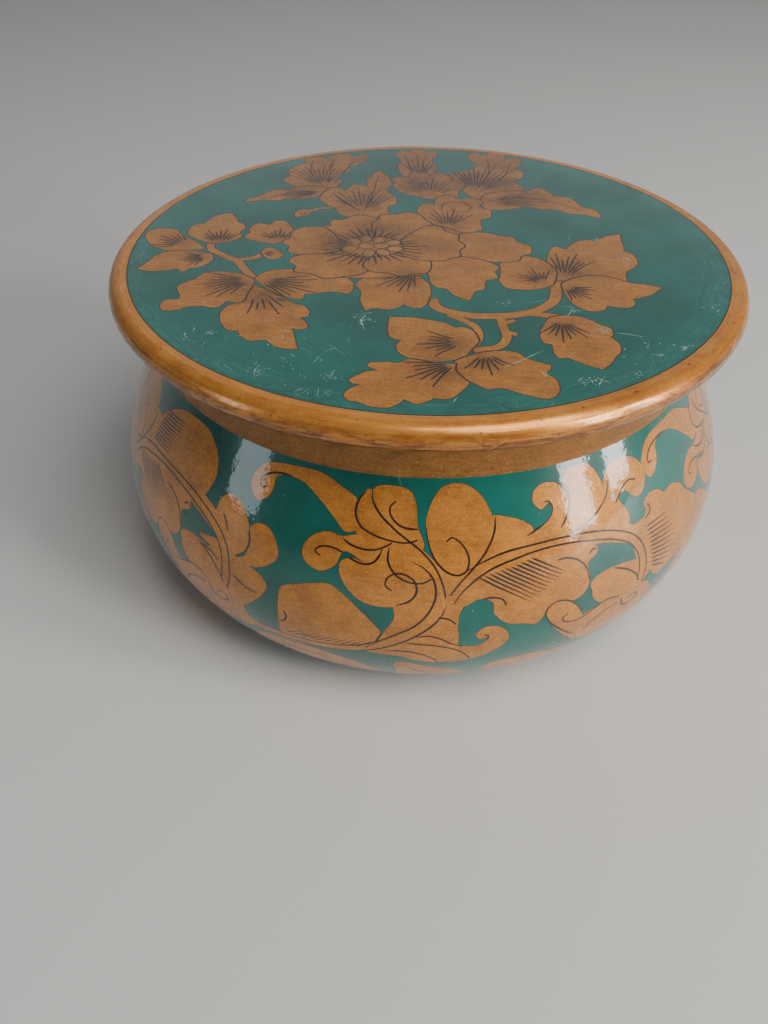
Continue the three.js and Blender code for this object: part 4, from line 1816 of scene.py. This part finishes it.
@dataclass(frozen=True)
class BellyCurve:
    """One face of the bowl's wall, by the radius and height of its base, its widest part and its neck."""

    base: Point
    belly: Point
    neck: Point
    rise: float
    spread: float
    drop: float

    def samples(self, steps: int) -> tuple[np.ndarray, np.ndarray, np.ndarray]:
        """Points along the curve.

        Args:
            steps: Steps below the widest part, and as many above it.

        Returns:
            The distance along the curve, the radius and the height of each point.
        """
        angle = np.linspace(0, math.pi / 2, steps + 1)
        low_radius = self.base[0] + (self.belly[0] - self.base[0]) * np.sin(angle)
        low_height = self.base[1] + (self.belly[1] - self.base[1]) * (1 - np.cos(angle))
        share = np.linspace(0, 1, steps + 1)[1:]
        weights = np.column_stack([
            (1 - share) ** 3, 3 * share * (1 - share) ** 2, 3 * share ** 2 * (1 - share), share ** 3,
        ])
        radii = (self.belly[0], self.belly[0], self.neck[0] + self.spread, self.neck[0])
        heights = (self.belly[1], self.belly[1] + self.rise, self.neck[1] - self.drop, self.neck[1])
        radius = np.concatenate([low_radius, weights @ np.array(radii)])
        height = np.concatenate([low_height, weights @ np.array(heights)])
        along = np.concatenate([[0.0], np.cumsum(np.hypot(np.diff(radius), np.diff(height)))])
        return along, radius, height


@dataclass
class Bowl:
    """The hollow bowl: a painted belly, a gold collar, and a plain inside and underside."""

    base_radius: float = 57.0
    belly_height: float = 27.6
    belly_rise: float = 12.0
    collar_radius: float = 66.6
    shoulder_height: float = 62.5
    shoulder_spread: float = 5.6
    shoulder_drop: float = 11.5
    wall: float = 6.0
    floor: float = 7.0
    inner_base_radius: float = 53.0
    mouth_radius: float = 61.0
    mouth_rounding: float = 1.2
    edge_line: float = 0.45
    line_width: float = 0.5
    line_taper: float = 0.3
    comb_taper: float = 0.75
    drawing_radius: float = 73.0
    scrolls: int = 5
    links: tuple[Link, ...] = (Link.FAN, Link.LOBES, Link.FAN, Link.FAN, Link.LOBES)
    steps: int = 240
    side_steps: int = 400
    inside_steps: int = 24
    seam_steps: int = 48
    collar_steps: int = 5
    mouth_steps: int = 6
    filling_pitch: float = 1.8
    filling_margin: float = 0.9
    belly_radius: float = field(init=False)
    mouth_height: float = field(init=False)

    def __post_init__(self) -> None:
        """Takes the bowl's greatest radius and its height from the frame."""
        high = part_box("bowl")[1]
        self.belly_radius = high.x / MM
        self.mouth_height = high.z / MM

    def curve(self, base: Point, belly_radius: float, neck_radius: float) -> BellyCurve:
        """The curve of one face of the wall.

        Args:
            base: Radius and height of its lower end.
            belly_radius: Its greatest radius.
            neck_radius: Its radius at the shoulder.

        Returns:
            The curve.
        """
        belly = (belly_radius, self.belly_height)
        neck = (neck_radius, self.shoulder_height)
        return BellyCurve(base, belly, neck, self.belly_rise, self.shoulder_spread, self.shoulder_drop)

    def side(self) -> tuple[np.ndarray, np.ndarray, np.ndarray]:
        """Distance along the outside, radius and height of points from the base to the collar."""
        outside = self.curve((self.base_radius, 0.0), self.belly_radius, self.collar_radius)
        return outside.samples(self.side_steps)

    def inside(self) -> list[Point]:
        """The profile of the inside, from the mouth down to the middle of the floor.

        Returns:
            Radius and height of each point.
        """
        base = (self.inner_base_radius, self.floor)
        inside = self.curve(base, self.belly_radius - self.wall, self.mouth_radius)
        _, radius, height = inside.samples(self.inside_steps)
        return [*zip(radius[::-1].tolist(), height[::-1].tolist()), (0, self.floor)]

    def unrolled(self, points: Sequence[Point], turn: float) -> list[Point]:
        """Puts points of a scroll on the unrolled belly.

        Args:
            points: Angle in degrees and distance along the side of each point.
            turn: How far round the bowl the scroll is, in degrees.

        Returns:
            The points in millimetres.
        """
        per_degree = math.radians(1) * self.drawing_radius
        return [((angle + turn) * per_degree, along) for angle, along in points]

    def forms(self, sketch: Sketch, turn: float, link: Link) -> list[np.ndarray]:
        """The gold areas of one scroll of leaves.

        Args:
            sketch: The drawing.
            turn: How far round the bowl it is, in degrees.
            link: What joins it to the next one.

        Returns:
            Their outlines.
        """
        joining = (*LOBE_LINKS, CROWN_PLUME) if link is Link.LOBES else (FAN_LINK, *CROWN_LOBES)
        blobs = (*LOWER_BLOBS, *SCROLL_BLOBS, SCROLL_BUD, *joining)
        outlines = [smooth_route(self.unrolled(blob, turn), sketch.spacing, True) for blob in blobs]
        for route, width, taper in SCROLL_STEMS:
            outlines.append(sketch.stem(self.unrolled(route, turn), width, taper))
        return outlines

    def draw_lines(self, sketch: Sketch, turn: float, link: Link) -> None:
        """Draws the dark lines of one scroll.

        Args:
            sketch: The drawing.
            turn: How far round the bowl it is, in degrees.
            link: What joins it to the next one.
        """
        lobed = link is Link.LOBES
        joining = LOBE_LINES if lobed else (*CROWN_LINES, FAN_HOOK)
        for line in (*LOWER_LINES, *SCROLL_LINES, *BUD_LINES, *joining):
            sketch.line(self.unrolled(line, turn), self.line_width, self.line_taper)
        for comb in (*SCROLL_COMBS, LOBE_COMB if lobed else FAN_COMB):
            for stroke in comb.strokes():
                start, end = self.unrolled(stroke, turn)
                middle = ((start[0] + end[0]) / 2, (start[1] + end[1]) / 2)
                sketch.line((start, middle, end), comb.width, self.comb_taper)

    def painting(self, length: float) -> Sketch:
        """Draws the scrolls round the belly, and past both ends of the unrolled sheet.

        Args:
            length: The length of the bowl's side.

        Returns:
            The drawing.
        """
        sketch = Sketch(hairline=0.1, spacing=0.6, wobble=0.12)
        pitch = 360 / self.scrolls
        ends = self.scrolls // 2 + 1
        numbers = range(-ends, ends + 1)
        places = [(pitch * number, self.links[number % self.scrolls]) for number in numbers]
        sketch.ground([outline for turn, link in places for outline in self.forms(sketch, turn, link)])
        for turn, link in places:
            self.draw_lines(sketch, turn, link)
        past = math.pi * self.drawing_radius * 1.02
        low = length - self.edge_line
        high = length + 1
        sketch.add(np.array([(-past, low), (past, low), (past, high), (-past, high)]), Pigment.INK)
        return sketch

    def cut(self, sketch: Sketch, length: float) -> Sheet:
        """Cuts the unrolled drawing to the size of the belly.

        Args:
            sketch: The drawing.
            length: The length of the bowl's side.

        Returns:
            The cut sheet.
        """
        half = math.pi * self.drawing_radius
        across = np.linspace(-half, half, self.steps + 1)
        up = np.linspace(0, length, self.seam_steps + 1)
        border = np.vstack([
            np.column_stack([across, np.zeros_like(across)]),
            np.column_stack([np.full(len(up) - 2, half), up[1:-1]]),
            np.column_stack([across[::-1], np.full_like(across, length)]),
            np.column_stack([np.full(len(up) - 2, -half), up[-2:0:-1]]),
        ])
        margin = self.filling_margin
        filling = lattice((-half + margin, margin), (half - margin, length - margin), self.filling_pitch)
        patches = [patch for patch in sketch.patches if np.abs(patch.outline[:, 0]).min() < half]
        return cut_sheet(
            patches, border, filling,
            lambda spots: (np.abs(spots[:, 0]) < half) & (spots[:, 1] > 0) & (spots[:, 1] < length),
        )

    def build(self, materials: Sequence[Material]) -> Object:
        """Makes the bowl.

        Args:
            materials: Its materials in the order of the pigments.

        Returns:
            The bowl.
        """
        along, radius, height = self.side()
        sketch = self.painting(along[-1])
        sheet = self.cut(sketch, along[-1])
        angle = sheet.points[:, 0] / self.drawing_radius
        out = np.interp(sheet.points[:, 1], along, radius)
        rise = np.interp(sheet.points[:, 1], along, height)
        places = np.column_stack([out * np.sin(angle), -out * np.cos(angle), rise])
        mesh = bmesh.new()
        self.turn_plain_parts(mesh)
        lay_sheet(mesh, sheet, places, sketch.shade_at(sheet.points))
        piece = make_object("bowl_lacquered", mesh, materials)
        self.smooth_belly(piece)
        return piece

    def turn_plain_parts(self, mesh: BMesh) -> None:
        """Turns the underside, the collar, the mouth and the inside.

        Args:
            mesh: The mesh to add to.
        """
        turn_profile(mesh, [(0, 0), (self.base_radius, 0)], self.steps, Pigment.PLAIN)
        rounding = self.mouth_rounding
        level = self.mouth_height - rounding
        outer_middle = (self.collar_radius - rounding, level)
        inner_middle = (self.mouth_radius + rounding, level)
        outer_edge = arc_points(outer_middle, rounding, 0, 90, self.mouth_steps)
        inner_edge = arc_points(inner_middle, rounding, 90, 180, self.mouth_steps)
        levels = np.linspace(self.shoulder_height, level, self.collar_steps + 1)[:-1]
        collar = [(self.collar_radius, height) for height in levels]
        turn_profile(mesh, [*collar, *outer_edge], self.steps, Pigment.BAND)
        turn_profile(mesh, [outer_edge[-1], *inner_edge, *self.inside()], self.steps, Pigment.PLAIN)

    def smooth_belly(self, piece: Object) -> None:
        """Shades the belly by its true curve, whatever its triangles are.

        Args:
            piece: The bowl.
        """
        data = piece.data
        along, radius, height = self.side()
        normals = read_all(data.corner_normals, "vector", 3, np.float32)
        corner_vertex = read_all(data.loops, "vertex_index", 1, np.int32)
        places = read_all(data.vertices, "co", 3, np.float32) / MM
        sides = read_all(data.polygons, "loop_total", 1, np.int32)
        pigments = read_all(data.polygons, "material_index", 1, np.int32)
        painted = np.repeat(pigments < int(Pigment.BAND), sides)
        spots = places[corner_vertex[painted]]
        out = np.hypot(spots[:, 0], spots[:, 1])
        below = self.side_steps + 1
        place = np.where(
            spots[:, 2] < 0.5 * self.belly_height,
            np.interp(out, radius[:below], along[:below]),
            np.interp(spots[:, 2], height, along),
        )
        outward = np.interp(place, along, np.gradient(height, along))
        upward = -np.interp(place, along, np.gradient(radius, along))
        flat = spots[:, :2] / out[:, None] * outward[:, None]
        normals[painted] = np.column_stack([flat, upward])
        data.normals_split_custom_set(normals.tolist())

    def dress(self, piece: Object) -> None:
        """Sets the bowl in the frame.

        Args:
            piece: The bowl.
        """
        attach(piece, "root")
        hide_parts("bowl")


# The studio


WARM = (1.0, 0.97, 0.93)
COOL = (0.84, 0.92, 1.0)
WHITE = (1.0, 1.0, 1.0)
BOX_MIDDLE = (0.0, 0.0, 0.05)


@dataclass(frozen=True)
class Softbox:
    """A soft rectangular lamp that faces a point."""

    name: str
    place: tuple[float, float, float]
    aim: tuple[float, float, float]
    width: float
    height: float
    power: float
    colour: Colour = WHITE

    def build(self) -> None:
        """Makes the lamp."""
        lamp = bpy.data.lights.new(self.name, "AREA")
        lamp.shape = "RECTANGLE"
        lamp.size = self.width
        lamp.size_y = self.height
        lamp.energy = self.power
        lamp.color = self.colour
        holder = bpy.data.objects.new(self.name, lamp)
        facing = (Vector(self.aim) - Vector(self.place)).to_track_quat("-Z", "Y")
        holder.matrix_world = Matrix.Translation(self.place) @ facing.to_matrix().to_4x4()
        bpy.context.scene.collection.objects.link(holder)


@dataclass
class Studio:
    """A pale floor, soft light and the camera."""

    floor_size: float = 3.0
    floor_colour: Colour = linear(206, 204, 200)
    floor_roughness: float = 0.55
    sky: Colour = (0.82, 0.84, 0.86)
    glow_towards: tuple[float, float, float] = (0.0, 0.97, 0.24)
    glow_edge: float = 0.62
    dim: float = 0.15
    bright: float = 0.46
    eye: tuple[float, float, float] = (-12.6, -189.9, 164.2)
    pitch: float = 41.86
    yaw: float = 0.85
    roll: float = 0.37
    focal_pixels: float = 818.9
    picture_height: int = 1024
    sensor: float = 36.0
    nearest: float = 0.01
    lamps: tuple[Softbox, ...] = (
        Softbox("window_right", (0.70, -0.52, 0.30), BOX_MIDDLE, 0.16, 0.55, 5.4, WARM),
        Softbox("window_right_outer", (0.86, -0.30, 0.32), BOX_MIDDLE, 0.16, 0.55, 5.4, WARM),
        Softbox("window_left", (-0.86, -0.40, 0.22), BOX_MIDDLE, 0.22, 0.36, 0.95, COOL),
        Softbox("top", (0.4, -0.4, 1.0), (0.0, 0.0, 0.04), 0.7, 0.7, 8.0),
    )

    def build(self) -> None:
        """Makes the floor, the light and the camera."""
        self.build_floor()
        self.build_light()
        self.build_camera()

    def build_floor(self) -> None:
        """Lays a plain pale floor."""
        mesh = bmesh.new()
        bmesh.ops.create_grid(mesh, x_segments=1, y_segments=1, size=self.floor_size)
        data = bpy.data.meshes.new("floor")
        mesh.to_mesh(data)
        mesh.free()
        material = bpy.data.materials.new("pale_floor")
        material.use_nodes = True
        shader = material.node_tree.nodes["Principled BSDF"]
        shader.inputs["Base Color"].default_value = (*self.floor_colour, 1)
        shader.inputs["Roughness"].default_value = self.floor_roughness
        data.materials.append(material)
        floor = bpy.data.objects.new("floor", data)
        bpy.context.scene.collection.objects.link(floor)
        floor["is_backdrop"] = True

    def build_light(self) -> None:
        """Sets a surrounding light, brighter behind the box, and the softboxes."""
        world = bpy.data.worlds.new("studio")
        world.use_nodes = True
        nodes = Nodes(world.node_tree)
        background = world.node_tree.nodes["Background"]
        background.inputs["Color"].default_value = (*self.sky, 1)
        towards = nodes.add("ShaderNodeTexCoord").outputs["Generated"]
        directions = {0: towards, 1: self.glow_towards}
        facing = nodes.add("ShaderNodeVectorMath", directions, operation="DOT_PRODUCT").outputs["Value"]
        glow = nodes.ramp(facing, self.glow_edge, 1.0, self.dim, self.bright)
        nodes.link(background, {"Strength": glow})
        bpy.context.scene.world = world
        for lamp in self.lamps:
            lamp.build()

    def build_camera(self) -> None:
        """Sets the camera where the photograph was taken from."""
        lens = bpy.data.cameras.new("camera")
        lens.sensor_width = self.sensor
        lens.lens = self.focal_pixels * self.sensor / self.picture_height
        lens.clip_start = self.nearest
        camera = bpy.data.objects.new("camera", lens)
        heading = Euler((math.radians(90 - self.pitch), 0, math.radians(-self.yaw))).to_matrix()
        tilt = Matrix.Rotation(math.radians(self.roll), 3, "Z")
        camera.matrix_world = Matrix.Translation(Vector(self.eye) * MM) @ (heading @ tilt).to_4x4()
        bpy.context.scene.collection.objects.link(camera)
        bpy.context.scene.camera = camera


def corners(box: tuple[Vector, Vector]) -> list[list[float]]:
    """A box as plain lists of numbers."""
    return [[float(value) for value in corner] for corner in box]


def main() -> None:
    """Builds the box in its studio and reports each piece."""
    logging.basicConfig(level=logging.INFO, format="%(name)s: %(message)s")
    solid_box = corners(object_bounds())
    palette = Palette()
    lid = Lid()
    bowl = Bowl()
    for part, materials in ((bowl, palette.for_bowl()), (lid, palette.for_lid())):
        piece = part.build(materials)
        part.dress(piece)
        LOG.info("%s: %d faces", piece.name, len(piece.data.polygons))
    Studio().build()
    json.dumps({"cad": solid_box, "visual": corners(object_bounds())})


if __name__ == "__main__":
    main()
